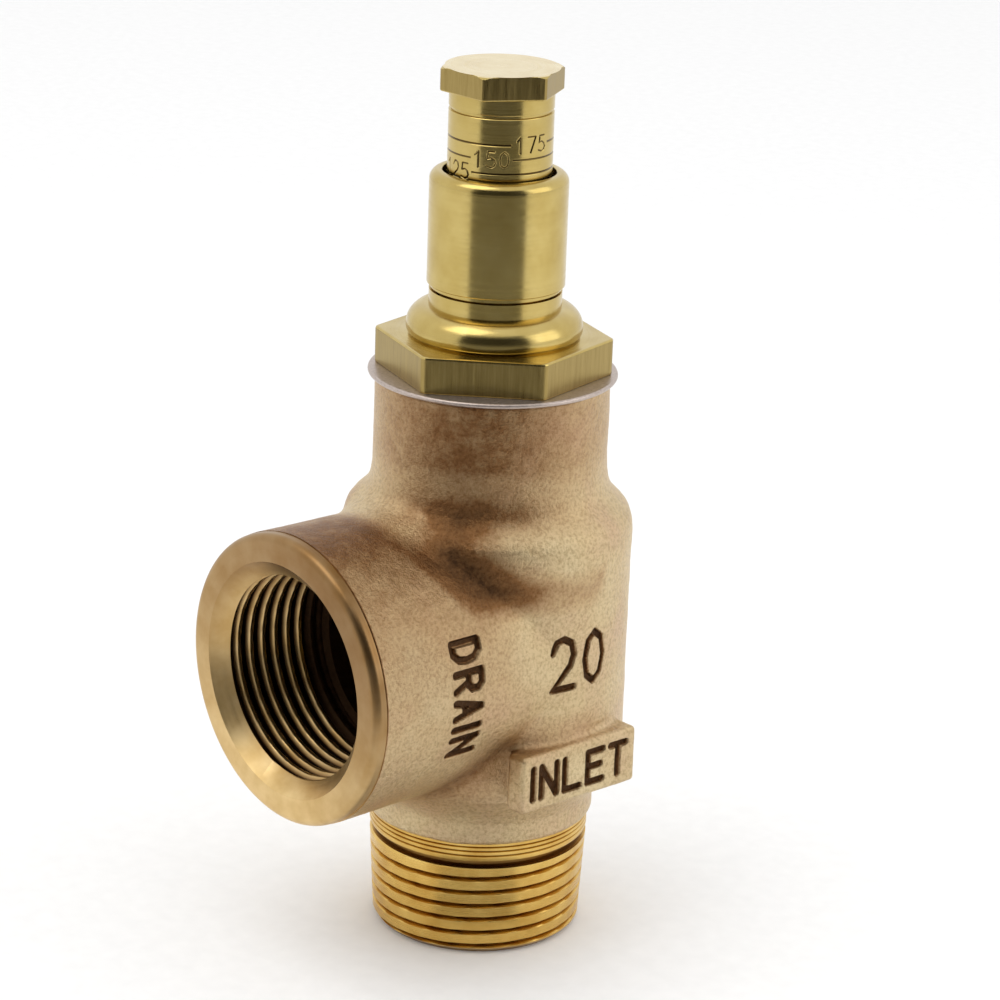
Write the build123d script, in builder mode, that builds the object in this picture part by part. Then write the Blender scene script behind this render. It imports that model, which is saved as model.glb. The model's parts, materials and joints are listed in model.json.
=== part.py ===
"""Pressure relief valve with a calibrated adjusting cap, male inlet below and female outlet on the side.

Millimetres. The inlet end face is at z = 0, the valve axis is +Z and the outlet opens towards -Y.
Heights ending in _z are measured from the inlet end face.
"""

from build123d import *
import os

os.makedirs("parts", exist_ok=True)

# ---------------------------------------------------------------- driving dimensions
# Pipe threads: 14 turns per inch, drawn as annular V grooves.
thread_pitch = 1.814
thread_depth = 0.95
thread_groove_mouth = 1.35
thread_groove_root = 0.15
inlet_crest_radius = 13.2
inlet_thread_length = 11.6
inlet_chamfer = 0.6
outlet_crest_radius = 12.2
outlet_thread_length = 15.5
outlet_countersink_radius = 14.05
outlet_countersink_depth = 1.8

# Casting
casting_wall = 3.6
relief_height = 1.6
collar_radius = 13.4
collar_height = 0.9
lower_neck_radius = 13.9
lower_neck_height = 2.9
belly_radius = 17.25
belly_flare_height = 5.5
belly_round = 2.0
outlet_axis_z = 37.9
outlet_reach = 30.9
outlet_boss_radius = 17.5
outlet_boss_draft = 0.4
outlet_rim_round = 1.0
shoulder_drop = 2.7
shoulder_round = 3.0
neck_radius = 13.95
neck_bottom_z = 56.3
neck_foot_round = 1.5
neck_rim_round = 0.2
neck_top_z = 69.9
pad_width = 18.0
pad_height = 7.2
pad_centre_z = 25.3
pad_overhang = 1.3
pad_corner = 1.2

# Waterway, valve and its guide
inlet_bore_radius = 8.5
seat_shank_radius = 9.4
seat_shank_length = 4.5
seat_flange_radius = 10.8
seat_flange_thickness = 1.6
seat_orifice_radius = 6.5
seat_lip_width = 0.8
seat_lip_height = 0.6
chamber_floor_z = 28.0
seal_radius = 8.0
seal_thickness = 2.5
holder_rim = 1.1
holder_height = 5.8
holder_cup_gap = 1.0
holder_chamfer = 0.8
washer_radius = 4.6
washer_thickness = 0.9
screw_radius = 1.9
screw_head_radius = 3.2
screw_head_height = 1.9
screw_length = 7.2
screw_slot_width = 0.7
screw_slot_depth = 0.8
stem_radius = 3.2
stem_thread_radius = 2.2
stem_shoulder_radius = 4.6
stem_shoulder_height = 1.6
stem_end_showing = 0.8
guide_radius = 8.95
guide_thickness = 2.8
guide_headroom = 0.5
guide_lip = 1.4
guide_ledge_web = 3.0
guide_port_radius = 1.1
guide_port_circle = 6.1

# Diaphragm stack, clamped under the bonnet
diaphragm_thickness = 0.6
diaphragm_dish = 1.2
diaphragm_free_radius = 9.0
plate_radius = 7.0
plate_thickness = 1.3
slip_ring_thickness = 1.0
nut_across_flats = 8.0
nut_height = 2.9
bonnet_spigot_length = 11.0
neck_wall = 2.3

# Spring and its two buttons
spring_wire = 1.4
spring_mean_radius = 4.05
spring_turns = 7.5
lower_button_radius = 6.0
lower_button_thickness = 2.5
button_spigot_length = 1.6
upper_button_thickness = 2.4
ball_radius = 1.4
ball_seat_depth = 0.56

# Bonnet, reading sleeve and gasket ring
gasket_radius = 14.87
gasket_thickness = 0.6
bonnet_hex_radius = 14.2
bonnet_hex_height = 4.35
bonnet_hex_turn = 44.04
bonnet_step_height = 0.6
bonnet_step_depth = 0.4
bonnet_flare_lip = 0.3
bonnet_flare_radius = 10.12
bonnet_flare_height = 2.9
bonnet_flare_arc_radius = 3.05
bonnet_neck_radius = 7.85
bonnet_neck_height = 2.3
bonnet_tube_radius = 7.35
bonnet_tube_height = 7.4
bonnet_bore_radius = 6.6
bonnet_relief_radius = 8.2
bonnet_relief_depth = 8.0
sleeve_height = 13.8
sleeve_mouth_clearance = 0.53
sleeve_rim_width = 0.48
sleeve_chamfer = 1.0
sleeve_foot_chamfer = 0.25

# Adjusting cap: graduated skirt, threaded foot and hexagonal head
cap_skirt_radius = 6.13
cap_thread_radius = 6.5
cap_thread_chamfer = 0.5
cap_thread_drop = 5.6
cap_thread_length = 9.6
cap_bore_radius = 5.2
cap_bore_depth = 14.6
cap_hex_radius = 7.40
cap_hex_height = 2.87
cap_hex_turn = 61.7
cap_hex_chamfer = 0.55
cap_skirt_showing = 9.35
cap_band_groove_drop = 1.96
scale_step = 1.69
scale_first_ring = 0.81
scale_rings_up = 2
scale_rings_down = 3
scale_line_width = 0.22
scale_line_depth = 0.1
band_groove_width = 0.4
band_groove_depth = 0.25

# Named clearances, all on the radius or along the axis
thread_clearance = 0.12
fit_clearance = 0.05
seat_clearance = 0.1
rest_clearance = 0.1

# ---------------------------------------------------------------- levels worked out from them
relief_top_z = inlet_thread_length + relief_height
collar_top_z = relief_top_z + collar_height
lower_neck_top_z = collar_top_z + lower_neck_height
belly_bottom_z = lower_neck_top_z + belly_flare_height
shoulder_z = neck_bottom_z - shoulder_drop

seat_ring_bottom_z = chamber_floor_z - seat_shank_length
seat_lip_z = chamber_floor_z + seat_flange_thickness + seat_lip_height
holder_bottom_z = seat_lip_z + holder_cup_gap
holder_top_z = holder_bottom_z + holder_height
holder_radius = seal_radius + holder_rim
screw_head_top_z = seat_lip_z - washer_thickness

bonnet_spigot_z = neck_top_z - bonnet_spigot_length
slip_ring_z = bonnet_spigot_z - slip_ring_thickness
diaphragm_z = slip_ring_z - diaphragm_thickness
neck_bore_radius = neck_radius - neck_wall
dish_z = diaphragm_z - diaphragm_dish
plate_z = dish_z - plate_thickness
stem_shoulder_z = plate_z - stem_shoulder_height
guide_z = stem_shoulder_z - guide_headroom - guide_thickness
guide_ledge_z = guide_z - guide_lip
chamber_radius = belly_radius - casting_wall
chamber_top_z = guide_ledge_z - guide_ledge_web
upper_washer_z = dish_z + diaphragm_thickness
nut_z = upper_washer_z + plate_thickness
lower_button_z = nut_z + nut_height
lower_button_top_z = lower_button_z + lower_button_thickness
stem_top_z = lower_button_top_z + stem_end_showing

bonnet_flange_z = neck_top_z + gasket_thickness
bonnet_hex_top_z = bonnet_flange_z + bonnet_hex_height
bonnet_flare_z = bonnet_hex_top_z + bonnet_step_height
bonnet_neck_z = bonnet_flare_z + bonnet_flare_height
sleeve_z = bonnet_neck_z + bonnet_neck_height
sleeve_mouth_radius = cap_skirt_radius + sleeve_mouth_clearance
sleeve_radius = sleeve_mouth_radius + sleeve_rim_width + sleeve_chamfer
bonnet_top_z = sleeve_z + bonnet_tube_height
sleeve_top_z = sleeve_z + sleeve_height

cap_hex_z = sleeve_top_z + cap_skirt_showing
cap_hex_top_z = cap_hex_z + cap_hex_height
cap_thread_top_z = sleeve_top_z - cap_thread_drop
cap_bottom_z = cap_thread_top_z - cap_thread_length
cap_bore_top_z = cap_bottom_z + cap_bore_depth
ball_z = cap_bore_top_z - ball_radius
upper_button_top_z = ball_z - ball_radius + ball_seat_depth
upper_button_z = upper_button_top_z - upper_button_thickness
spring_bottom_z = lower_button_top_z + rest_clearance
spring_top_z = upper_button_z - rest_clearance

OUTLET_AXIS = Axis((0, 0, outlet_axis_z), (0, 1, 0))


# ---------------------------------------------------------------- body casting
# The thread grooves stop short of the ends, so that a crest bounds the thread on both sides.
inlet_groove_count = int((inlet_thread_length - inlet_chamfer) / thread_pitch)
outlet_groove_count = int((outlet_thread_length - thread_pitch / 2) / thread_pitch)
boss_root_radius = outlet_boss_radius - outlet_boss_draft
outlet_waterway_radius = outlet_crest_radius - thread_depth

with BuildPart() as body:
    # Turned outline: threaded inlet, collar, lower neck, belly, shoulder and upper neck.
    with BuildSketch(Plane.XZ):
        with BuildLine():
            FilletPolyline(
                (0, 0),
                (inlet_crest_radius - inlet_chamfer, 0),
                (inlet_crest_radius, inlet_chamfer),
                (inlet_crest_radius, inlet_thread_length),
                (inlet_crest_radius - thread_depth, inlet_thread_length + thread_depth / 2),
                (inlet_crest_radius - thread_depth, relief_top_z),
                (collar_radius, relief_top_z),
                (collar_radius, collar_top_z),
                (lower_neck_radius, collar_top_z),
                (lower_neck_radius, lower_neck_top_z),
                (belly_radius, belly_bottom_z),
                (belly_radius, shoulder_z),
                (neck_radius, neck_bottom_z),
                (neck_radius, neck_top_z),
                (0, neck_top_z),
                radius=[0] * 8 + [belly_round, belly_round, shoulder_round, neck_foot_round, neck_rim_round],
            )
            Line((0, neck_top_z), (0, 0))
        make_face()
    revolve(axis=Axis.Z)

    # Outlet boss with a little draft and a rounded rim.
    with BuildSketch(Plane.YZ):
        with BuildLine():
            FilletPolyline(
                (0, outlet_axis_z),
                (0, outlet_axis_z + boss_root_radius),
                (-outlet_reach, outlet_axis_z + outlet_boss_radius),
                (-outlet_reach, outlet_axis_z),
                radius=[0, outlet_rim_round],
            )
            Line((-outlet_reach, outlet_axis_z), (0, outlet_axis_z))
        make_face()
    revolve(axis=OUTLET_AXIS)

    # Raised pad low on the +X side of the belly.
    with BuildSketch(Plane.YZ.offset(chamber_radius + casting_wall / 2)):
        with Locations((0, pad_centre_z)):
            RectangleRounded(pad_width, pad_height, pad_corner)
    extrude(amount=casting_wall / 2 + pad_overhang)

    # Inlet bore and the counterbore that takes the seat ring's shank.
    with BuildSketch(Plane.XY):
        Circle(inlet_bore_radius)
    extrude(amount=chamber_floor_z, mode=Mode.SUBTRACT)
    with BuildSketch(Plane.XY.offset(seat_ring_bottom_z - seat_clearance)):
        Circle(seat_shank_radius + fit_clearance)
    extrude(amount=seat_shank_length + seat_clearance, mode=Mode.SUBTRACT)

    # Chamber, the ledge under the guide bush, the diaphragm seat and the threaded neck bore.
    with BuildSketch(Plane.XZ):
        with BuildLine():
            Polyline(
                (0, chamber_floor_z),
                (chamber_radius, chamber_floor_z),
                (chamber_radius, chamber_top_z),
                (guide_radius - guide_lip, guide_ledge_z),
                (guide_radius - guide_lip, guide_z),
                (guide_radius + fit_clearance, guide_z),
                (guide_radius + fit_clearance, diaphragm_z),
                (neck_bore_radius, diaphragm_z),
                (neck_bore_radius, neck_top_z + 1),
                (0, neck_top_z + 1),
                close=True,
            )
        make_face()
    revolve(axis=Axis.Z, mode=Mode.SUBTRACT)

    # Outlet: countersink, thread crest bore and the waterway behind it.
    with BuildSketch(Plane.YZ):
        with BuildLine():
            Polyline(
                (-outlet_reach - 1, outlet_axis_z),
                (-outlet_reach - 1, outlet_axis_z + outlet_countersink_radius),
                (-outlet_reach, outlet_axis_z + outlet_countersink_radius),
                (-outlet_reach + outlet_countersink_depth, outlet_axis_z + outlet_crest_radius),
                (-outlet_reach + outlet_thread_length, outlet_axis_z + outlet_crest_radius),
                (-outlet_reach + outlet_thread_length + 1, outlet_axis_z + outlet_waterway_radius),
                (0, outlet_axis_z + outlet_waterway_radius),
                (0, outlet_axis_z),
                close=True,
            )
        make_face()
    revolve(axis=OUTLET_AXIS, mode=Mode.SUBTRACT)

    # Inlet thread grooves, from the top turn down.
    with BuildSketch(Plane.XZ):
        for turn in range(inlet_groove_count):
            groove_z = inlet_thread_length - (turn + 0.5) * thread_pitch
            with BuildLine():
                Polyline(
                    (inlet_crest_radius + 0.1, groove_z - thread_groove_mouth / 2),
                    (inlet_crest_radius - thread_depth, groove_z - thread_groove_root / 2),
                    (inlet_crest_radius - thread_depth, groove_z + thread_groove_root / 2),
                    (inlet_crest_radius + 0.1, groove_z + thread_groove_mouth / 2),
                    close=True,
                )
            make_face()
    revolve(axis=Axis.Z, mode=Mode.SUBTRACT)

    # Outlet thread grooves, from the countersink inwards.
    with BuildSketch(Plane.YZ):
        for turn in range(outlet_groove_count):
            groove_y = -outlet_reach + outlet_countersink_depth + (turn + 0.75) * thread_pitch
            with BuildLine():
                Polyline(
                    (groove_y - thread_groove_mouth / 2, outlet_axis_z + outlet_crest_radius - 0.1),
                    (groove_y - thread_groove_root / 2, outlet_axis_z + outlet_crest_radius + thread_depth),
                    (groove_y + thread_groove_root / 2, outlet_axis_z + outlet_crest_radius + thread_depth),
                    (groove_y + thread_groove_mouth / 2, outlet_axis_z + outlet_crest_radius - 0.1),
                    close=True,
                )
            make_face()
    revolve(axis=OUTLET_AXIS, mode=Mode.SUBTRACT)

body.part.label = "body"
export_step(body.part, "parts/body.step")

# ---------------------------------------------------------------- seat ring
with BuildPart() as seat_ring:
    with BuildSketch(Plane.XZ):
        with BuildLine():
            Polyline(
                (seat_orifice_radius, seat_ring_bottom_z),
                (seat_shank_radius, seat_ring_bottom_z),
                (seat_shank_radius, chamber_floor_z),
                (seat_flange_radius, chamber_floor_z),
                (seat_flange_radius, chamber_floor_z + seat_flange_thickness),
                (seat_orifice_radius + seat_lip_width, chamber_floor_z + seat_flange_thickness),
                (seat_orifice_radius + seat_lip_width, seat_lip_z),
                (seat_orifice_radius, seat_lip_z),
                close=True,
            )
        make_face()
    revolve(axis=Axis.Z)

seat_ring.part.label = "seat_ring"
export_step(seat_ring.part, "parts/seat_ring.step")

# ---------------------------------------------------------------- valve train: disc end
# The rubber seal lies in the holder's cup and is held by a washer and a screw from below.
with BuildPart() as disc_seal:
    with BuildSketch(Plane.XY.offset(seat_lip_z)):
        Circle(seal_radius)
        Circle(screw_radius + fit_clearance, mode=Mode.SUBTRACT)
    extrude(amount=seal_thickness)

disc_seal.part.label = "disc_seal"
export_step(disc_seal.part, "parts/disc_seal.step")

with BuildPart() as disc_holder:
    with BuildSketch(Plane.XY.offset(holder_bottom_z)):
        Circle(holder_radius)
    extrude(amount=holder_height)
    chamfer(disc_holder.edges().group_by(Axis.Z)[-1], length=holder_chamfer)
    with BuildSketch(Plane.XY.offset(holder_bottom_z)):
        Circle(seal_radius + fit_clearance)
    extrude(amount=seat_lip_z + seal_thickness - holder_bottom_z, mode=Mode.SUBTRACT)
    with BuildSketch(Plane.XY.offset(holder_bottom_z)):
        Circle(stem_thread_radius + fit_clearance)
    extrude(amount=holder_height, mode=Mode.SUBTRACT)

disc_holder.part.label = "disc_holder"
export_step(disc_holder.part, "parts/disc_holder.step")

with BuildPart() as disc_washer:
    with BuildSketch(Plane.XY.offset(screw_head_top_z)):
        Circle(washer_radius)
        Circle(screw_radius + fit_clearance, mode=Mode.SUBTRACT)
    extrude(amount=washer_thickness)

disc_washer.part.label = "disc_washer"
export_step(disc_washer.part, "parts/disc_washer.step")

# The screw's shank ends where the stem's lower end begins, inside the holder.
stem_bottom_z = screw_head_top_z + screw_length - 2 * fit_clearance
with BuildPart() as disc_screw:
    with BuildSketch(Plane.XY.offset(screw_head_top_z - screw_head_height)):
        Circle(screw_head_radius)
    extrude(amount=screw_head_height)
    with BuildSketch(Plane.XY.offset(screw_head_top_z - screw_head_height)):
        Rectangle(2 * screw_head_radius, screw_slot_width)
    extrude(amount=screw_slot_depth, mode=Mode.SUBTRACT)
    with BuildSketch(Plane.XY.offset(screw_head_top_z)):
        Circle(screw_radius)
    extrude(amount=stem_bottom_z - fit_clearance - screw_head_top_z)

disc_screw.part.label = "disc_screw"
export_step(disc_screw.part, "parts/disc_screw.step")

# ---------------------------------------------------------------- stem
with BuildPart() as stem:
    with BuildSketch(Plane.XZ):
        with BuildLine():
            Polyline(
                (0, stem_bottom_z),
                (stem_thread_radius, stem_bottom_z),
                (stem_thread_radius, holder_top_z),
                (stem_radius, holder_top_z),
                (stem_radius, stem_shoulder_z),
                (stem_shoulder_radius, stem_shoulder_z),
                (stem_shoulder_radius, plate_z),
                (stem_thread_radius, plate_z),
                (stem_thread_radius, stem_top_z),
                (0, stem_top_z),
                close=True,
            )
        make_face()
    revolve(axis=Axis.Z)

stem.part.label = "stem"
export_step(stem.part, "parts/stem.step")

# ---------------------------------------------------------------- guide bush for the stem
with BuildPart() as guide_bush:
    with BuildSketch(Plane.XY.offset(guide_z)):
        Circle(guide_radius)
        Circle(stem_radius + fit_clearance, mode=Mode.SUBTRACT)
        with PolarLocations(guide_port_circle, 6):
            Circle(guide_port_radius, mode=Mode.SUBTRACT)
    extrude(amount=guide_thickness)

guide_bush.part.label = "guide_bush"
export_step(guide_bush.part, "parts/guide_bush.step")

# ---------------------------------------------------------------- diaphragm stack
with BuildPart() as diaphragm_plate:
    with BuildSketch(Plane.XY.offset(plate_z)):
        Circle(plate_radius)
        Circle(stem_thread_radius + fit_clearance, mode=Mode.SUBTRACT)
    extrude(amount=plate_thickness)

diaphragm_plate.part.label = "diaphragm_plate"
export_step(diaphragm_plate.part, "parts/diaphragm_plate.step")

# The diaphragm's rim is clamped on the body's ledge, and its centre hangs one dish below that.
spigot_radius = neck_bore_radius - thread_clearance
dish_outer_radius = diaphragm_free_radius - fit_clearance
with BuildPart() as diaphragm:
    with BuildSketch(Plane.XZ):
        with BuildLine():
            Polyline(
                (stem_thread_radius + fit_clearance, dish_z),
                (plate_radius + fit_clearance, dish_z),
                (dish_outer_radius, diaphragm_z),
                (spigot_radius, diaphragm_z),
                (spigot_radius, diaphragm_z + diaphragm_thickness),
                (dish_outer_radius, diaphragm_z + diaphragm_thickness),
                (plate_radius + fit_clearance, dish_z + diaphragm_thickness),
                (stem_thread_radius + fit_clearance, dish_z + diaphragm_thickness),
                close=True,
            )
        make_face()
    revolve(axis=Axis.Z)

diaphragm.part.label = "diaphragm"
export_step(diaphragm.part, "parts/diaphragm.step")

with BuildPart() as diaphragm_washer:
    with BuildSketch(Plane.XY.offset(upper_washer_z)):
        Circle(plate_radius)
        Circle(stem_thread_radius + fit_clearance, mode=Mode.SUBTRACT)
    extrude(amount=plate_thickness)

diaphragm_washer.part.label = "diaphragm_washer"
export_step(diaphragm_washer.part, "parts/diaphragm_washer.step")

with BuildPart() as stem_nut:
    with BuildSketch(Plane.XY.offset(nut_z)):
        RegularPolygon(nut_across_flats / 2, 6, major_radius=False)
        Circle(stem_thread_radius + fit_clearance, mode=Mode.SUBTRACT)
    extrude(amount=nut_height)

stem_nut.part.label = "stem_nut"
export_step(stem_nut.part, "parts/stem_nut.step")

with BuildPart() as slip_ring:
    with BuildSketch(Plane.XY.offset(slip_ring_z)):
        Circle(spigot_radius)
        Circle(diaphragm_free_radius, mode=Mode.SUBTRACT)
    extrude(amount=slip_ring_thickness)

slip_ring.part.label = "slip_ring"
export_step(slip_ring.part, "parts/slip_ring.step")

# ---------------------------------------------------------------- spring between its two buttons
spring_inner_radius = spring_mean_radius - spring_wire / 2
button_spigot_radius = spring_inner_radius - 3 * fit_clearance

with BuildPart() as lower_spring_button:
    with BuildSketch(Plane.XY.offset(lower_button_z)):
        Circle(lower_button_radius)
    extrude(amount=lower_button_thickness)
    with BuildSketch(Plane.XY.offset(lower_button_top_z)):
        Circle(button_spigot_radius)
    extrude(amount=button_spigot_length)
    with BuildSketch(Plane.XY.offset(lower_button_z)):
        Circle(stem_thread_radius + fit_clearance)
    extrude(amount=stem_top_z - lower_button_z + fit_clearance, mode=Mode.SUBTRACT)

lower_spring_button.part.label = "lower_spring_button"
export_step(lower_spring_button.part, "parts/lower_spring_button.step")

spring_rise = spring_top_z - spring_bottom_z - spring_wire
with BuildPart() as spring:
    with BuildLine():
        coil = Helix(
            pitch=spring_rise / spring_turns,
            height=spring_rise,
            radius=spring_mean_radius,
            center=(0, 0, spring_bottom_z + spring_wire / 2),
        )
    with BuildSketch(Plane(origin=coil @ 0, z_dir=coil % 0)):
        Circle(spring_wire / 2)
    sweep(is_frenet=True)

spring.part.label = "spring"
export_step(spring.part, "parts/spring.step")

upper_button_radius = cap_bore_radius - 3 * fit_clearance
with BuildPart() as upper_spring_button:
    with BuildSketch(Plane.XY.offset(upper_button_z)):
        Circle(upper_button_radius)
    extrude(amount=upper_button_thickness)
    with BuildSketch(Plane.XY.offset(upper_button_z)):
        Circle(button_spigot_radius)
    extrude(amount=-button_spigot_length)
    with Locations((0, 0, ball_z)):
        Sphere(ball_radius, mode=Mode.SUBTRACT)

upper_spring_button.part.label = "upper_spring_button"
export_step(upper_spring_button.part, "parts/upper_spring_button.step")

with BuildPart() as thrust_ball:
    with Locations((0, 0, ball_z)):
        Sphere(ball_radius - fit_clearance)

thrust_ball.part.label = "thrust_ball"
export_step(thrust_ball.part, "parts/thrust_ball.step")

# ---------------------------------------------------------------- gasket ring and bonnet
with BuildPart() as gasket_ring:
    with BuildSketch(Plane.XY.offset(neck_top_z)):
        Circle(gasket_radius)
        Circle(spigot_radius + fit_clearance, mode=Mode.SUBTRACT)
    extrude(amount=gasket_thickness)

gasket_ring.part.label = "gasket_ring"
export_step(gasket_ring.part, "parts/gasket_ring.step")

with BuildPart() as bonnet:
    with BuildSketch(Plane.XY.offset(bonnet_flange_z)):
        RegularPolygon(bonnet_hex_radius, 6, rotation=bonnet_hex_turn)
    extrude(amount=bonnet_hex_height)
    with BuildSketch(Plane.XZ):
        with BuildLine():
            Polyline(
                (0, bonnet_spigot_z),
                (spigot_radius, bonnet_spigot_z),
                (spigot_radius, bonnet_flange_z),
                (bonnet_flare_radius - bonnet_step_depth, bonnet_flange_z),
                (bonnet_flare_radius - bonnet_step_depth, bonnet_flare_z),
                (bonnet_flare_radius, bonnet_flare_z + bonnet_flare_lip),
            )
            RadiusArc(
                (bonnet_flare_radius, bonnet_flare_z + bonnet_flare_lip),
                (bonnet_neck_radius, bonnet_neck_z),
                -bonnet_flare_arc_radius,
            )
            Polyline(
                (bonnet_neck_radius, bonnet_neck_z),
                (bonnet_neck_radius, sleeve_z),
                (bonnet_tube_radius, sleeve_z),
                (bonnet_tube_radius, bonnet_top_z),
                (0, bonnet_top_z),
                (0, bonnet_spigot_z),
            )
        make_face()
    revolve(axis=Axis.Z)
    with BuildSketch(Plane.XY.offset(bonnet_spigot_z)):
        Circle(bonnet_bore_radius)
    extrude(amount=bonnet_top_z - bonnet_spigot_z, mode=Mode.SUBTRACT)
    with BuildSketch(Plane.XY.offset(bonnet_spigot_z)):
        Circle(bonnet_relief_radius)
    extrude(amount=bonnet_relief_depth, mode=Mode.SUBTRACT)

bonnet.part.label = "bonnet"
export_step(bonnet.part, "parts/bonnet.step")

# ---------------------------------------------------------------- reading sleeve
with BuildPart() as reading_sleeve:
    with BuildSketch(Plane.XZ):
        with BuildLine():
            Polyline(
                (bonnet_tube_radius + fit_clearance, sleeve_z),
                (sleeve_radius - sleeve_foot_chamfer, sleeve_z),
                (sleeve_radius, sleeve_z + sleeve_foot_chamfer),
                (sleeve_radius, sleeve_top_z - sleeve_chamfer),
                (sleeve_radius - sleeve_chamfer, sleeve_top_z),
                (sleeve_mouth_radius, sleeve_top_z),
                (sleeve_mouth_radius, bonnet_top_z + fit_clearance),
                (bonnet_tube_radius + fit_clearance, bonnet_top_z + fit_clearance),
                close=True,
            )
        make_face()
    revolve(axis=Axis.Z)

reading_sleeve.part.label = "reading_sleeve"
export_step(reading_sleeve.part, "parts/reading_sleeve.step")

# ---------------------------------------------------------------- adjusting cap
with BuildPart() as adjusting_cap:
    with BuildSketch(Plane.XY.offset(cap_hex_z)):
        RegularPolygon(cap_hex_radius, 6, rotation=cap_hex_turn)
    extrude(amount=cap_hex_height)
    # A turned cone cuts the six top corners of the head.
    with BuildSketch(Plane.XZ):
        with BuildLine():
            Polyline(
                (cap_hex_radius - 2 * cap_hex_chamfer, cap_hex_top_z),
                (cap_hex_radius, cap_hex_top_z - cap_hex_chamfer),
                (cap_hex_radius + 1, cap_hex_top_z - cap_hex_chamfer),
                (cap_hex_radius + 1, cap_hex_top_z + 1),
                (cap_hex_radius - 2 * cap_hex_chamfer, cap_hex_top_z + 1),
                close=True,
            )
        make_face()
    revolve(axis=Axis.Z, mode=Mode.SUBTRACT)
    with BuildSketch(Plane.XZ):
        with BuildLine():
            Polyline(
                (0, cap_bore_top_z),
                (cap_bore_radius, cap_bore_top_z),
                (cap_bore_radius, cap_bottom_z),
                (cap_thread_radius - cap_thread_chamfer, cap_bottom_z),
                (cap_thread_radius, cap_bottom_z + cap_thread_chamfer),
                (cap_thread_radius, cap_thread_top_z),
                (cap_skirt_radius, cap_thread_top_z),
                (cap_skirt_radius, cap_hex_z),
                (0, cap_hex_z),
                close=True,
            )
        make_face()
    revolve(axis=Axis.Z)
    # Fine scale lines, one step apart, and a wider band groove under the head.
    with BuildSketch(Plane.XZ):
        for ring in range(-scale_rings_down, scale_rings_up + 1):
            ring_z = sleeve_top_z + scale_first_ring + ring * scale_step
            with BuildLine():
                Polyline(
                    (cap_skirt_radius - scale_line_depth, ring_z - scale_line_width / 2),
                    (cap_skirt_radius + 0.1, ring_z - scale_line_width / 2),
                    (cap_skirt_radius + 0.1, ring_z + scale_line_width / 2),
                    (cap_skirt_radius - scale_line_depth, ring_z + scale_line_width / 2),
                    close=True,
                )
            make_face()
        with Locations((cap_skirt_radius, cap_hex_z - cap_band_groove_drop)):
            Rectangle(2 * band_groove_depth, band_groove_width)
    revolve(axis=Axis.Z, mode=Mode.SUBTRACT)

adjusting_cap.part.label = "adjusting_cap"
export_step(adjusting_cap.part, "parts/adjusting_cap.step")
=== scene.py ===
# %% [markdown]
# # A pressure relief valve, from casting to camera
#
# This lesson dresses an adjustable pressure relief valve for a still picture. The valve is a sand
# cast bronze body with a threaded foot and a threaded side outlet. A turned brass bonnet, a
# reading sleeve and a graduated screw cap sit on top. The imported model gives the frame: where
# each piece is and what it moves with. Blender adds what the eye wants, such as cast skin, cut
# threads, engraved numbers and turned metal.

# %% Load the frame
import json
import math

import bmesh
import bpy
import numpy as np
from mathutils import Matrix, Vector, noise


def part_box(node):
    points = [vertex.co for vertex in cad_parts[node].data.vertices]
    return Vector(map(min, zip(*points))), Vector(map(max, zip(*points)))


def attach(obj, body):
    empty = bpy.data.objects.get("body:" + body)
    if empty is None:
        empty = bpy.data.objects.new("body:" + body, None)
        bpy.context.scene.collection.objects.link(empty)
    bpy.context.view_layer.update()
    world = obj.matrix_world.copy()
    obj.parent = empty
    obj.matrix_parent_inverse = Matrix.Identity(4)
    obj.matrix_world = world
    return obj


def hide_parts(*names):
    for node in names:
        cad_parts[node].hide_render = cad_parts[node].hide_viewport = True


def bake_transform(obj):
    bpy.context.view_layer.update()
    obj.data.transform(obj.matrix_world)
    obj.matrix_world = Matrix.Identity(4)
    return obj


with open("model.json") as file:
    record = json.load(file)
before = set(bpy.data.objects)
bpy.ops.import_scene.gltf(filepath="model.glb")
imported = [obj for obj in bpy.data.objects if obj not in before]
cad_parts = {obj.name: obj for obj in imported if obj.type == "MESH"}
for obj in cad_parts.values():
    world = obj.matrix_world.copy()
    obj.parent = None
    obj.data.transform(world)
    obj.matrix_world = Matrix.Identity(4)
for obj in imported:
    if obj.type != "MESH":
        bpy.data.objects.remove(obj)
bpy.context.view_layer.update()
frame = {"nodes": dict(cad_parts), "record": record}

MM = 0.001
scene = bpy.context.scene

# %% [markdown]
# ## Levels
#
# A turner works from levels along the axis, so every height below is read from the boxes of the
# model's own parts. They are kept in millimetres, because all the drawing in this lesson is
# done in millimetres and turned into metres when a mesh is made.

# %% Read the levels
def box_mm(node):
    """The lowest and highest corner of a part's box."""
    low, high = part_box(node)
    return [v / MM for v in low], [v / MM for v in high]


def foot(node):
    """The height of a part's lowest point."""
    return box_mm(node)[0][2]


def head(node):
    """The height of a part's highest point."""
    return box_mm(node)[1][2]


mounts = {m["name"]: m for m in frame["record"]["mounts"]}
outlet_z = mounts["outlet"]["pos_m"][2] / MM
outlet_face = box_mm("body")[0][1]
neck_top = foot("gasket_ring")
sleeve_foot, sleeve_head = foot("reading_sleeve"), head("reading_sleeve")
cap_foot, cap_head = foot("adjusting_cap"), head("adjusting_cap")
print("outlet axis at", outlet_z, "face at", round(outlet_face, 2), "neck top at", round(neck_top, 2))

# %% [markdown]
# ## Turning a mesh on a lathe
#
# Most of this valve was turned, so the first helper is a lathe. It takes a closed outline of
# (radius, height) points and spins it round an axis. A shaping function may then push the
# radius in or out at each angle, which is how one helper also makes hexagons, screw threads and
# engraved lines. Corners with a radius are given as (radius, height, corner radius).

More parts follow.
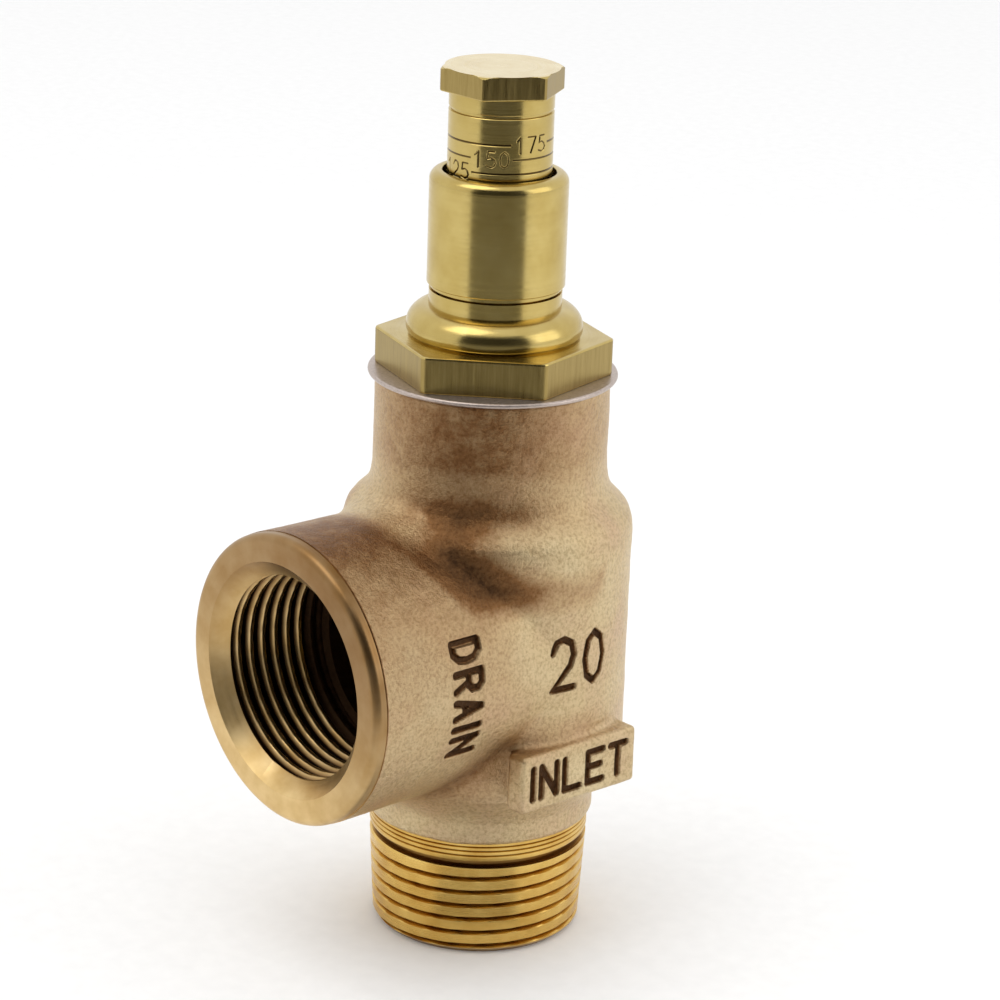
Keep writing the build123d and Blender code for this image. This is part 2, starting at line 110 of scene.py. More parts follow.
# %% Outlines
def rounded(outline, arc_steps=5):
    """Replaces each corner that has a third number by an arc of that radius."""
    points = []
    count = len(outline)
    for i, corner in enumerate(outline):
        here = np.array(corner[:2], float)
        size = corner[2] if len(corner) > 2 else 0
        if not size:
            points.append(tuple(here))
            continue
        before = np.array(outline[i - 1][:2], float) - here
        after = np.array(outline[(i + 1) % count][:2], float) - here
        before /= np.linalg.norm(before)
        after /= np.linalg.norm(after)
        half = math.acos(max(-1.0, min(1.0, float(before @ after)))) / 2
        reach = size / math.tan(half)
        centre = here + (before + after) / np.linalg.norm(before + after) * size / math.sin(half)
        start, end = here + before * reach - centre, here + after * reach - centre
        for step in range(arc_steps + 1):
            share = step / arc_steps
            ray = start * (1 - share) + end * share
            points.append(tuple(centre + ray / np.linalg.norm(ray) * size))
    return points


def rows_between(r0, z0, r1, z1, count):
    """Evenly spaced points on a straight stretch of an outline, without its last point."""
    return [(r0 + (r1 - r0) * i / count, z0 + (z1 - z0) * i / count) for i in range(count)]


print("a square corner rounded in", len(rounded([(0, 0), (2, 0), (2, 2, 1), (0, 2)])) - 4, "steps")

# %% Mesh from points
def new_object(name, points, faces, sharp=35):
    """A mesh object from points in millimetres, smooth except over edges sharper than an angle."""
    mesh = bpy.data.meshes.new(name)
    mesh.from_pydata((np.asarray(points) * MM).tolist(), [], faces)
    piece = bpy.data.objects.new(name, mesh)
    scene.collection.objects.link(piece)
    build = bmesh.new()
    build.from_mesh(mesh)
    bmesh.ops.recalc_face_normals(build, faces=build.faces)
    build.to_mesh(mesh)
    build.free()
    shade(piece, sharp)
    return piece


def shade(piece, sharp=35):
    """Smooth shading, with an edge kept wherever two faces meet at more than sharp degrees."""
    piece.data.shade_smooth()
    piece.data.set_sharp_from_angle(angle=math.radians(sharp))


# %% The lathe
def lathe(name, outline, steps=180, shape=None, start=0.0, axis="z", sharp=35):
    """Spins a closed outline round an axis. shape(angle, radius, height) gives new radii."""
    angles = start + np.arange(steps) * 2 * math.pi / steps
    points, rings, faces = [], [], []
    for r, z in outline:
        if r < 1e-6:
            rings.append([len(points)] * steps)
            points.append((0.0, 0.0, z))
            continue
        radii = np.full(steps, float(r)) if shape is None else shape(angles, r, z)
        rings.append(list(range(len(points), len(points) + steps)))
        points += list(zip(radii * np.cos(angles), radii * np.sin(angles), [z] * steps))
    for lower, upper in zip(rings, rings[1:] + rings[:1]):
        if lower[0] == lower[1] and upper[0] == upper[1]:
            continue
        for i in range(steps):
            j = (i + 1) % steps
            face = [lower[i], lower[j], upper[j], upper[i]]
            faces.append(list(dict.fromkeys(face)))
    points = np.array(points)
    if axis == "-y":
        points = np.stack([points[:, 0], -points[:, 2], points[:, 1] + outlet_z], axis=1)
    return new_object(name, points, faces, sharp)


# %% [markdown]
# ## Metals
#
# Bare metal takes nearly all its look from what it reflects, so the materials stay simple:
# metallic 1, a colour, and a roughness that wanders. What tells one finish from another is the
# small relief. Sand casting leaves fine grain, turning leaves rings round the axis, and drawn
# hexagon bar has streaks along it. Each relief is a noise texture stretched the right way.

# %% Material helpers
def begin_material(name, metallic, roughness):
    """A new material, its node tree and its shader."""
    material = bpy.data.materials.new(name)
    material.use_nodes = True
    shader = material.node_tree.nodes["Principled BSDF"]
    shader.inputs["Metallic"].default_value = metallic
    shader.inputs["Roughness"].default_value = roughness
    return material, material.node_tree, shader


def node(tree, kind, **settings):
    """Adds a node. A setting goes to the socket of that name, or else to the node's own option."""
    made = tree.nodes.new(kind)
    for key, value in settings.items():
        if key in made.inputs:
            made.inputs[key].default_value = value
        else:
            setattr(made, key, value)
    return made


# %% [markdown]
# A texture needs coordinates. Grain uses the object's own, in millimetres, and squeezing them on
# one axis draws the grain out into streaks. Turning marks use the distance from the axis and the
# height along it, so that each line of the noise runs round the piece.

# %% Coordinates
def stretched(tree, stretch):
    """Object coordinates in millimetres, scaled by stretch on each axis."""
    place = node(tree, "ShaderNodeTexCoord")
    scale = node(tree, "ShaderNodeVectorMath", operation="MULTIPLY")
    scale.inputs[1].default_value = [s / MM for s in stretch]
    tree.links.new(place.outputs["Object"], scale.inputs[0])
    return scale.outputs[0]


def round_axis(tree, along):
    """Distance from the axis and height along it, for turned marks, in millimetres."""
    place = node(tree, "ShaderNodeTexCoord")
    split = node(tree, "ShaderNodeSeparateXYZ")
    flat = node(tree, "ShaderNodeCombineXYZ")
    length = node(tree, "ShaderNodeVectorMath", operation="LENGTH")
    join = node(tree, "ShaderNodeCombineXYZ")
    scale = node(tree, "ShaderNodeVectorMath", operation="MULTIPLY")
    scale.inputs[1].default_value = (1 / MM, 1 / MM, 1 / MM)
    tree.links.new(place.outputs["Object"], split.inputs[0])
    first, second = ("X", "Y") if along == "z" else ("X", "Z")
    tree.links.new(split.outputs[first], flat.inputs[0])
    if along == "z":
        tree.links.new(split.outputs[second], flat.inputs[1])
    else:
        lift = node(tree, "ShaderNodeMath", operation="SUBTRACT")
        lift.inputs[1].default_value = outlet_z * MM
        tree.links.new(split.outputs[second], lift.inputs[0])
        tree.links.new(lift.outputs[0], flat.inputs[1])
    tree.links.new(flat.outputs[0], length.inputs[0])
    tree.links.new(length.outputs["Value"], join.inputs[0])
    tree.links.new(split.outputs["Z" if along == "z" else "Y"], join.inputs[1])
    tree.links.new(join.outputs[0], scale.inputs[0])
    return scale.outputs[0]


# %% [markdown]
# The last helpers turn a noise into what the shader takes: a colour, a plain number or a bump.
# Colours are written as a display shows them and become linear light in from_display.

# %% Noise, colour and relief
def grain(tree, vector, scale, detail=3.0, roughness=0.55):
    """A noise from 0 to 1, with about scale grains to the millimetre."""
    made = node(tree, "ShaderNodeTexNoise", Scale=scale, Detail=detail, Roughness=roughness)
    tree.links.new(vector, made.inputs["Vector"])
    return made.outputs["Fac"]


def ramp(tree, value, stops):
    """Colours a number: stops are (place, colour), lowest first."""
    made = node(tree, "ShaderNodeValToRGB")
    while len(made.color_ramp.elements) < len(stops):
        made.color_ramp.elements.new(0.5)
    for element, (place, colour) in zip(made.color_ramp.elements, stops):
        element.position = place
        element.color = (*colour, 1.0) if len(colour) == 3 else colour
    tree.links.new(value, made.inputs[0])
    return made.outputs[0]


def grey(tree, value, low, high, start=0.3, end=0.7):
    """Maps a noise to a plain number from low to high."""
    made = node(tree, "ShaderNodeMapRange")
    made.inputs["From Min"].default_value = start
    made.inputs["From Max"].default_value = end
    made.inputs["To Min"].default_value = low
    made.inputs["To Max"].default_value = high
    tree.links.new(value, made.inputs["Value"])
    return made.outputs[0]


def blend_colours(tree, share, first, second):
    """Mixes two colours, each a tuple or a socket. A share of 1 is all second."""
    made = node(tree, "ShaderNodeMix", data_type="RGBA")
    tree.links.new(share, made.inputs[0])
    for socket, colour in ((made.inputs[6], first), (made.inputs[7], second)):
        if isinstance(colour, tuple):
            socket.default_value = (*colour, 1.0)
        else:
            tree.links.new(colour, socket)
    return made.outputs[2]


def relief(tree, height, distance_mm, strength, below=None):
    """A bump of that depth, on top of the bump below it."""
    made = node(tree, "ShaderNodeBump", Strength=strength, Distance=distance_mm * MM)
    tree.links.new(height, made.inputs["Height"])
    if below is not None:
        tree.links.new(below, made.inputs["Normal"])
    return made.outputs[0]


def attribute(tree, name):
    """A number kept on the mesh, one for each point."""
    made = node(tree, "ShaderNodeAttribute", attribute_name=name)
    return made.outputs["Fac"]


def from_display(*rgb):
    """Linear colour from the 0 to 255 numbers of a display."""
    return tuple(((c / 255 + 0.055) / 1.055) ** 2.4 if c > 10 else c / 3294.6 for c in rgb)


# %% Cast bronze
def cast_bronze():
    """Sand cast skin: fine grain, a slow change of tone, and the brown of the oxide and of the painted shade.
    """
    material, tree, shader = begin_material("cast bronze", 1.0, 0.4)
    even = stretched(tree, (1, 1, 1))
    sand = grain(tree, even, 2.4, 5.0, 0.66)
    cloud = grain(tree, even, 0.11, 3.0)
    clean = ramp(tree, cloud, [(0.3, from_display(210, 182, 146)), (0.5, from_display(213, 190, 148)),
                               (0.7, from_display(220, 201, 160))])
    grit = ramp(tree, sand, [(0.36, from_display(186, 170, 150)), (0.56, (1, 1, 1))])
    # The brown and the painted shade are patchy: noise breaks their edge, and they go from reddish to dark
    # brown.
    film_and_shade = node(tree, "ShaderNodeMath", operation="MULTIPLY")
    tree.links.new(attribute(tree, "patina"), film_and_shade.inputs[0])
    tree.links.new(grey(tree, grain(tree, even, 0.45, 8.0, 0.72), 0.8, 1.2, 0.35, 0.65), film_and_shade.inputs[1])
    tint = ramp(tree, film_and_shade.outputs[0], [(0.0, from_display(186, 138, 92)),
                                        (0.35, from_display(152, 110, 70)),
                                        (1.0, from_display(78, 55, 36))])
    share = grey(tree, film_and_shade.outputs[0], 0.0, 1.0, 0.0, 0.5)
    speckled = node(tree, "ShaderNodeMix", data_type="RGBA", blend_type="MULTIPLY")
    speckled.inputs[0].default_value = 0.55
    tree.links.new(blend_colours(tree, share, clean, tint), speckled.inputs[6])
    tree.links.new(grit, speckled.inputs[7])
    tree.links.new(speckled.outputs[2], shader.inputs["Base Color"])
    tree.links.new(grey(tree, sand, 0.31, 0.43), shader.inputs["Roughness"])
    coarse = relief(tree, sand, 0.24, 0.7)
    tree.links.new(relief(tree, grain(tree, even, 7.0, 2.0), 0.07, 0.6, coarse), shader.inputs["Normal"])
    return material


# %% [markdown]
# The cut faces and the brass share one recipe, with rings round the axis. The casting's own cut
# faces are stained too, since water stands in their threads, and the outlet's face takes painted
# shade through the same stain. The flats of a hexagon were never turned: they keep the streaks of
# the drawn bar. Inside, the walls are a dull dark brown.

# %% Turned, drawn and crusted metals
RINGS, RING_DEPTH = 2.2, 0.012


def turned_metal(name, light, dark, roughness, along="z", stained=False):
    """Rings round an axis. A stained metal turns brown where the mesh holds stains, and where it holds
    painted shade.
    """
    material, tree, shader = begin_material(name, 1.0, roughness)
    track = round_axis(tree, along)
    lines = grain(tree, track, RINGS, 4.0, 0.7)
    cloud = grain(tree, stretched(tree, (1, 1, 1)), 0.28, 3.0)
    colour = ramp(tree, cloud, [(0.3, dark), (0.7, light)])
    if stained:
        # The number carries stains and painted shade, so this brown is partly painted shade.
        film_and_shade = attribute(tree, "patina")
        stain_and_shade = ramp(tree, film_and_shade, [(0.7, from_display(100, 56, 26)), (1.0, from_display(34, 20, 11))])
        colour = blend_colours(tree, film_and_shade, colour, stain_and_shade)
    tree.links.new(colour, shader.inputs["Base Color"])
    tree.links.new(grey(tree, lines, roughness - 0.06, roughness + 0.08), shader.inputs["Roughness"])
    fine = grain(tree, track, RINGS * 5, 2.0, 0.6)
    low = relief(tree, lines, RING_DEPTH, 0.7)
    tree.links.new(relief(tree, fine, RING_DEPTH * 0.4, 0.6, low), shader.inputs["Normal"])
    return material


def drawn_brass():
    """The flats left from hexagon bar: duller, with streaks along the bar."""
    material, tree, shader = begin_material("drawn brass", 1.0, 0.34)
    streaks = grain(tree, stretched(tree, (1, 1, 0.06)), 2.4, 5.0, 0.7)
    colour = ramp(tree, streaks, [(0.3, from_display(146, 125, 72)), (0.7, from_display(172, 150, 94))])
    tree.links.new(colour, shader.inputs["Base Color"])
    tree.links.new(grey(tree, streaks, 0.26, 0.4), shader.inputs["Roughness"])
    tree.links.new(relief(tree, streaks, 0.02, 0.6), shader.inputs["Normal"])
    return material


def dark_inner_metal():
    """Dull dark brown metal inside the waterways."""
    material, tree, shader = begin_material("waterway", 1.0, 0.6)
    blotches = grain(tree, stretched(tree, (1, 1, 1)), 0.9, 5.0, 0.7)
    colour = ramp(tree, blotches, [(0.3, from_display(48, 33, 22)), (0.7, from_display(80, 58, 39))])
    tree.links.new(colour, shader.inputs["Base Color"])
    tree.links.new(grey(tree, blotches, 0.5, 0.72), shader.inputs["Roughness"])
    tree.links.new(relief(tree, blotches, 0.1, 0.5), shader.inputs["Normal"])
    return material


BRONZE = cast_bronze()
CUT_BRONZE = turned_metal("cut bronze", from_display(230, 200, 144), from_display(204, 170, 110), 0.34,
                          along="y", stained=True)
CUT_FOOT = turned_metal("cut bronze foot", from_display(226, 190, 108), from_display(202, 160, 80), 0.28,
                        stained=True)
WATERWAY = dark_inner_metal()
DRAWN = drawn_brass()
# The faced brass is a paler copy of the turned brass: its pale colour is a painted highlight on the cap's
# top.
FACED_HIGHLIGHT = turned_metal("faced brass", from_display(238, 224, 186), from_display(226, 208, 164), 0.3)
BRASS = turned_metal("turned brass", from_display(200, 178, 112), from_display(186, 162, 94), 0.2)
METALS = (BRONZE, CUT_BRONZE, CUT_FOOT, WATERWAY, DRAWN, FACED_HIGHLIGHT, BRASS)
print("metals ready:", [metal.name for metal in METALS])

# %% [markdown]
# ## The casting
#
# The body is poured in sand, so its skin is soft: a barrel with a side boss that melt into each
# other, a raised pad, and marks pressed into the skin. A distance function says how far any
# point is from that skin. It blends shapes with fillets of any size, which is what a pattern
# maker does with wax. A rough voxel mesh is then pulled onto the skin where the function is 0.

# %% Distance to the skin
BELLY, NECK = 17.25, 13.95
BARREL = [(0, 14.9), (13.4, 14.9), (13.65, 15.05), (13.85, 15.4), (13.9, 15.9), (13.9, 17.2), (14.05, 17.9),
          (14.6, 18.9), (15.6, 20.3), (16.5, 21.6), (17.0, 22.8), (17.2, 24.3), (BELLY, 27), (BELLY, 47),
          (17.38, 50), (17.36, 51.3), (17.2, 52.6), (16.9, 53.5), (16.4, 54.2), (15.7, 54.9), (15.0, 55.6),
          (14.5, 56.4), (14.2, 57.3), (14.02, 58.5), (NECK, 60.2), (NECK, 69.6), (13.65, 69.9), (0, 69.9)]
BOSS_ROOT, BOSS_FACE = 17.1, 17.5
BOSS_END = -outlet_face + 0.8
PAD_MIDDLE, PAD_HALF, PAD_ROUND = (17.0, -0.4, 25.3), (1.5, 9.0, 3.55), 0.6
BOSS_MELT, PAD_MELT = 2.6, 1.0


def outline_distance(r, z, outline):
    """Signed distance in the (r, z) half plane to a closed outline, negative inside."""
    best = np.full(r.shape, 1e9)
    inside = np.zeros(r.shape, bool)
    for (r0, z0), (r1, z1) in zip(outline, outline[1:] + outline[:1]):
        dr, dz = r1 - r0, z1 - z0
        if max(r0, r1) > 1e-9:
            share = np.clip(((r - r0) * dr + (z - z0) * dz) / (dr * dr + dz * dz), 0, 1)
            best = np.minimum(best, np.hypot(r - r0 - share * dr, z - z0 - share * dz))
        if z0 != z1:
            crosses = (z0 > z) != (z1 > z)
            inside ^= crosses & (r < r0 + (z - z0) * dr / dz)
    return np.where(inside, -best, best)


def melt(first, second, size):
    """The union of two shapes with a fillet of about that size."""
    near = np.maximum(size - np.abs(first - second), 0) / np.maximum(size, 1e-6)
    return np.minimum(first, second) - near * near * size / 4


def skin(points):
    """Distance to the cast skin, without the marks."""
    x, y, z = points.T
    around, across = np.hypot(x, y), np.hypot(x, z - outlet_z)
    barrel = outline_distance(around, z, BARREL)
    boss_radius = BOSS_ROOT + (BOSS_FACE - BOSS_ROOT) * -y / BOSS_END
    boss = np.maximum(np.maximum(across - boss_radius, -y - BOSS_END), y)
    # Where the two curve together there is no corner to fill, so the fillet fades out there.
    corner = 1 - np.clip(x * x / np.maximum(around * across, 1e-6), 0, 1)
    body = melt(barrel, boss, BOSS_MELT * corner)
    reach = [np.abs(p - m) - (h - PAD_ROUND) for p, m, h in zip((x, y, z), PAD_MIDDLE, PAD_HALF)]
    outside = np.sqrt(sum(np.maximum(q, 0) ** 2 for q in reach))
    pad = outside + np.minimum(np.maximum.reduce(reach), 0) - PAD_ROUND
    return melt(body, pad, PAD_MELT), barrel, boss


print("barrel outline:", len(BARREL), "points; belly", 2 * BELLY, "mm and neck", 2 * NECK, "mm across")


# %% [markdown]
# The marks are strokes pressed into the pattern: the names of the two ports and the size of the
# thread. Each stroke is a line laid on the skin, and the skin sinks along its normal where it
# is close to a line. Sinking the mesh itself, and not only its shading, gives the strokes a
# real floor and lip.

# %% Strokes of the marks
LETTERS = {
    "A": [[(0, 0), (0.5, 1), (1, 0)], [(0.2, 0.36), (0.8, 0.36)]],
    "D": [[(0, 0), (0, 1), (0.55, 1), (0.9, 0.8), (1, 0.5), (0.9, 0.2), (0.55, 0), (0, 0)]],
    "E": [[(1, 1), (0, 1), (0, 0), (1, 0)], [(0, 0.52), (0.85, 0.52)]],
    "I": [[(0, 0), (0, 1)]],
    "L": [[(0, 1), (0, 0), (1, 0)]],
    "N": [[(0, 0), (0, 1), (1, 0), (1, 1)]],
    "R": [[(0, 0), (0, 1), (0.7, 1), (1, 0.86), (1, 0.64), (0.7, 0.5), (0, 0.5)], [(0.55, 0.5), (1, 0)]],
    "T": [[(0.5, 0), (0.5, 1)], [(0, 1), (1, 1)]],
    "0": [[(0.5, 0), (0.15, 0.15), (0, 0.5), (0.15, 0.85), (0.5, 1), (0.85, 0.85), (1, 0.5), (0.85, 0.15),
           (0.5, 0)]],
    "1": [[(0.15, 0.75), (0.55, 1), (0.55, 0)]],
    "2": [[(0, 0.75), (0.2, 0.95), (0.5, 1), (0.85, 0.9), (0.95, 0.68), (0.8, 0.45), (0, 0), (1, 0)]],
    "5": [[(0.9, 1), (0.15, 1), (0.08, 0.56), (0.5, 0.63), (0.88, 0.5), (1, 0.3), (0.85, 0.1), (0.5, 0),
           (0, 0.1)]],
    "7": [[(0, 1), (1, 1), (0.35, 0)]],
}


def strokes(text, height, width, gap):
    """Line segments for a word, centred on (0, 0), in millimetres."""
    segments, pen = [], 0.0
    for letter in text:
        for path in LETTERS[letter]:
            path = [(pen + u * width, v * height) for u, v in path]
            segments += list(zip(path, path[1:]))
        pen += gap + (0 if letter == "I" else width)
    half = (pen - gap) / 2
    return [((a[0] - half, a[1] - height / 2), (b[0] - half, b[1] - height / 2)) for a, b in segments]


print("letters and digits drawn:", len(LETTERS))

# %% [markdown]
# A word is drawn flat and then laid on the skin, so each place has its own rule for where a flat
# point lands. Inset moves it below the skin: the film on the floor of a stroke uses that.

# %% Marks on the skin
BELLY_MARK_HEIGHT = 38.8
BOSS_MARK_PLACE, BOSS_MARK_HEIGHT = -17.0, 37.8
BOSS_MIDDLE = (BOSS_ROOT + BOSS_FACE) / 2


def on_pad(u, v, inset=0.0):
    """The point on the pad's face that lies u along a word and v up it, inset below the skin."""
    return (PAD_MIDDLE[0] + PAD_HALF[0] - inset, PAD_MIDDLE[1] + u, PAD_MIDDLE[2] + v)


def on_barrel(u, v, inset=0.0):
    """The same on the belly."""
    return (math.sqrt(BELLY ** 2 - u * u) - inset, u, BELLY_MARK_HEIGHT + v)


def on_boss(u, v, inset=0.0):
    """The same on the side of the boss, where the word runs down."""
    z = BOSS_MARK_HEIGHT - u
    return (math.sqrt(BOSS_MIDDLE ** 2 - (z - outlet_z) ** 2) - inset, BOSS_MARK_PLACE + v, z)


# Each mark is its place on the skin, its strokes and half the width of a stroke at the skin.
MARKS = [(on_pad, strokes("INLET", 3.8, 2.35, 1.3), 0.52), (on_barrel, strokes("20", 6.2, 3.2, 1.6), 0.50),
         (on_boss, strokes("DRAIN", 3.8, 2.0, 1.4), 0.54)]
NEARBY, STROKE_SLOPE = 1.5, 0.24
BENDS = [k / 6 for k in range(7)]


def mark_depth(points, inset=0.0):
    """How deep each point lies in a mark, from 0 on the skin to 1 on the floor of a stroke."""
    depth = np.zeros(len(points))
    for place, segments, size in MARKS:
        ends = np.array([[place(*a), place(*b)] for a, b in segments])
        low, high = ends.min((0, 1)) - NEARBY, ends.max((0, 1)) + NEARBY
        near = np.flatnonzero(np.all((points > low) & (points < high), axis=1))
        line = np.full(len(near), 1e9)
        for a, b in segments:
            bent = [np.array(place(a[0] + (b[0] - a[0]) * s, a[1] + (b[1] - a[1]) * s, inset)) for s in BENDS]
            for start, end in zip(bent, bent[1:]):
                along = end - start
                share = np.clip((points[near] - start) @ along / (along @ along), 0, 1)
                away = points[near] - start - share[:, None] * along
                line = np.minimum(line, np.linalg.norm(away, axis=1))
        fall = np.clip((size - line) / STROKE_SLOPE, 0, 1)
        depth[near] = np.maximum(depth[near], fall * fall * (3 - 2 * fall))
    return depth


print("strokes pressed into the skin:", sum(len(s) for _, s, _ in MARKS))

# %% [markdown]
# ### Pouring it
#
# The casting is worked on as one mesh: its points are read, moved and written back, and each
# modifier is applied as soon as it is set.

# %% Mesh helpers
def baked(piece):
    """Applies a piece's modifiers and returns the piece."""
    graph = bpy.context.evaluated_depsgraph_get()
    mesh = bpy.data.meshes.new_from_object(piece.evaluated_get(graph))
    piece.modifiers.clear()
    old, piece.data = piece.data, mesh
    bpy.data.meshes.remove(old)
    return piece


def joined(pieces):
    """One object from several. The pieces themselves are deleted."""
    build = bmesh.new()
    for piece in pieces:
        build.from_mesh(piece.data)
        bpy.data.objects.remove(piece)
    mesh = bpy.data.meshes.new("joined")
    build.to_mesh(mesh)
    build.free()
    piece = bpy.data.objects.new("joined", mesh)
    scene.collection.objects.link(piece)
    return piece


def read_points(mesh):
    """The mesh's points, in millimetres."""
    flat = np.empty(len(mesh.vertices) * 3)
    mesh.vertices.foreach_get("co", flat)
    return flat.reshape(-1, 3) / MM


PULLS, TINY = 4, 0.01


def pull_onto(mesh, distance):
    """Slides each point down the slope of a distance function until the distance is 0."""
    points = read_points(mesh)
    for _ in range(PULLS):
        here = distance(points)
        slope = np.stack([(distance(points + step) - here) / TINY for step in np.eye(3) * TINY], axis=1)
        steep = np.maximum((slope ** 2).sum(1), 0.2)
        points -= np.clip(here / steep, -0.6, 0.6)[:, None] * slope
    mesh.vertices.foreach_set("co", (points * MM).ravel())
    mesh.update()
    return points


print("the skin is pulled in", PULLS, "passes")

# %% [markdown]
# Three crude closed shapes are melted together by the Remesh modifier, whose voxels give an
# even net of small quads. Each point then slides along the slope of the distance function until
# it lies on the skin. Points near the marks are first split finer, since a stroke is less than
# a millimetre wide.

# %% Pour the body
pad_blank = lathe("pad blank", [(0, -1), (1, -1), (1, 1), (0, 1)], 4, start=math.pi / 4)
half = Vector(PAD_HALF) / math.sqrt(0.5)
for vertex in pad_blank.data.vertices:
    scaled = Vector((vertex.co.x * half.x, vertex.co.y * half.y, vertex.co.z * PAD_HALF[2]))
    vertex.co = scaled + Vector(PAD_MIDDLE) * MM
body = joined([
    lathe("barrel blank", BARREL, 96),
    lathe("boss blank", [(0, 0), (BOSS_ROOT, 0), (BOSS_FACE, BOSS_END), (0, BOSS_END)], 96, axis="-y"),
    pad_blank,
])
VOXEL, SPLIT_MARGIN = 0.27, 0.9
melting = body.modifiers.new("melt", "REMESH")
melting.mode, melting.voxel_size = "VOXEL", VOXEL * MM
baked(body)


def split_near_marks(mesh):
    """Cuts each edge in the box round a mark into three."""
    build = bmesh.new()
    build.from_mesh(mesh)
    chosen = set()
    for place, segments, _ in MARKS:
        ends = np.array([place(*p) for s in segments for p in s])
        low, high = Vector(ends.min(0) - SPLIT_MARGIN) * MM, Vector(ends.max(0) + SPLIT_MARGIN) * MM
        for edge in build.edges:
            middle = (edge.verts[0].co + edge.verts[1].co) / 2
            if all(low[k] < middle[k] < high[k] for k in range(3)):
                chosen.add(edge)
    bmesh.ops.subdivide_edges(build, edges=list(chosen), cuts=2, use_grid_fill=True)
    build.to_mesh(mesh)
    build.free()


split_near_marks(body.data)
points = pull_onto(body.data, lambda spots: skin(spots)[0])
furthest = float(np.abs(skin(points)[0]).max())
print("poured:", len(points), "points, furthest from the skin", round(furthest, 3))

# %% [markdown]
# Sand leaves the skin a little uneven. A low wave of noise moves each point along its normal by
# a few hundredths of a millimetre, and a finer one adds grains; the bump in the material goes
# on from there.

# %% Press the marks and sand the skin
MARK_DEPTH = 0.55
WAVES = ((0.22, 0.07), (0.8, 0.03), (2.6, 0.02))  # how fine, how high


def weather(mesh):
    """Sinks the marks and adds the waves. Prints how far the skin rises and sinks."""
    sinking = mark_depth(read_points(mesh)) * MARK_DEPTH
    moves = []
    for vertex, normal, sink in zip(mesh.vertices, [n.vector.copy() for n in mesh.vertex_normals], sinking):
        place = vertex.co / MM
        wave = sum(noise.noise(place * fine) * high for fine, high in WAVES)
        moves.append(wave - sink)
        vertex.co += normal * (wave - sink) * MM
    mesh.update()
    print("the skin moves from", round(float(min(moves)), 2), "to", round(float(max(moves)), 2), "mm")


weather(body.data)
body.name = body.data.name = "valve_body_casting"
body.data.materials.append(BRONZE)

# %% [markdown]
# ## Machining the casting
#
# A shop faces the outlet, bores the waterways and cuts the threads. The threaded foot is a lathe
# shape joined on with a Boolean modifier, and each boring tool is one taken away. The shape's own
# material stays on the faces that it leaves, so they come out brighter than the skin. A thread is
# a lathe outline whose radius follows a V that climbs by one pitch each turn.

# %% Thread shapes
PITCH, ROWS_PER_PITCH = 1.814, 22


def vee(phase, mouth, flat):
    """Depth from 0 to 1 of a V groove, mouth wide at the crest and flat at the root, in pitches."""
    off = np.abs(phase - np.round(phase))
    return np.clip((mouth / 2 - off) / (mouth / 2 - flat / 2), 0, 1)


def thread_rows(start, end):
    """How many rows a threaded stretch needs."""
    return int(abs(end - start) / PITCH * ROWS_PER_PITCH)


foot_crest = mounts["inlet"]["dims"]["r_mm"]
THREAD_TOP, FOOT_WALL, FOOT_TAPER, FOOT_GROOVE = 11.7, 9, 0.055, 0.68
FIRST_GROOVE, FIRST_TURN = 10.25, math.radians(41.46)


def foot_crests(z):
    """Radius over the male thread's crests, which grows with the height."""
    return foot_crest + 0.12 - FOOT_TAPER * (11.6 - z)


def foot_shape(angles, z):
    """The male thread: it tapers, its foot is chamfered, and the groove runs out at the top."""
    turn = (z - FIRST_GROOVE) / PITCH - (angles + FIRST_TURN) / (2 * math.pi)
    fade = np.clip((11.9 - z) / 0.7, 0, 1)
    cut = foot_crests(z) - FOOT_GROOVE * vee(turn, 0.34, 0.05) * fade
    return np.minimum(cut, 11.75 + z * 1.1)


# Over the thread stands a short neck, then the turned collar with its three lines.
COLLAR, COLLAR_TOP, COLLAR_LINES = 13.36, 15.3, (13.35, 13.95, 14.5)
foot_outline = [(0, 0)]
foot_outline += rows_between(FOOT_WALL, 0.0, FOOT_WALL, THREAD_TOP, thread_rows(0, THREAD_TOP))
foot_outline += [(FOOT_WALL, THREAD_TOP), (12.8, 11.75), (12.5, 11.95), (12.5, 12.4), (12.9, 12.6),
                 (13.3, 12.7), (COLLAR, 12.85)]
for line in COLLAR_LINES:
    foot_outline += [(COLLAR, line - 0.12), (COLLAR - 0.2, line), (COLLAR, line + 0.12)]
foot_outline += [(COLLAR, COLLAR_TOP), (0, COLLAR_TOP)]


def foot_radii(angles, r, z):
    """Only the rows on the wall carry the thread."""
    return foot_shape(angles, z) if z <= THREAD_TOP and r == FOOT_WALL else np.full(len(angles), float(r))


male_foot = lathe("male foot", foot_outline, 220, foot_radii)
print("male thread crest radius, mm:", foot_crest)

# %% Outlet tool
outlet_mount = mounts["outlet"]
crest = outlet_mount["dims"]["r_mm"]
face = -outlet_face
thread_start = -outlet_mount["pos_m"][1] / MM
thread_end = thread_start - outlet_mount["dims"]["length_mm"]
OUTLET_GROOVE, RUN_OUT, THREAD_LEAD = 0.98, 2.5, 0.3


def outlet_radii(angles, r, y):
    """The female thread: only the rows at the crest radius carry it, and it runs out inside."""
    if r != crest:
        return np.full(len(angles), float(r))
    turn = (thread_start - y) / PITCH - angles / (2 * math.pi) + THREAD_LEAD
    fade = np.clip((y - thread_end) / RUN_OUT, 0, 1)
    return crest + OUTLET_GROOVE * vee(turn, 0.74, 0.08) * fade


OUTLET_BORE = 11.3
outlet_outline = [(0, -2), (OUTLET_BORE, -2), (OUTLET_BORE, thread_end - 0.4)]
outlet_rows = thread_rows(thread_start, thread_end)
outlet_outline += rows_between(crest, thread_end, crest, thread_start, outlet_rows)
outlet_outline += [(crest + 0.05, thread_start + 0.02), (14.0, face - 0.12), (14.12, face)]
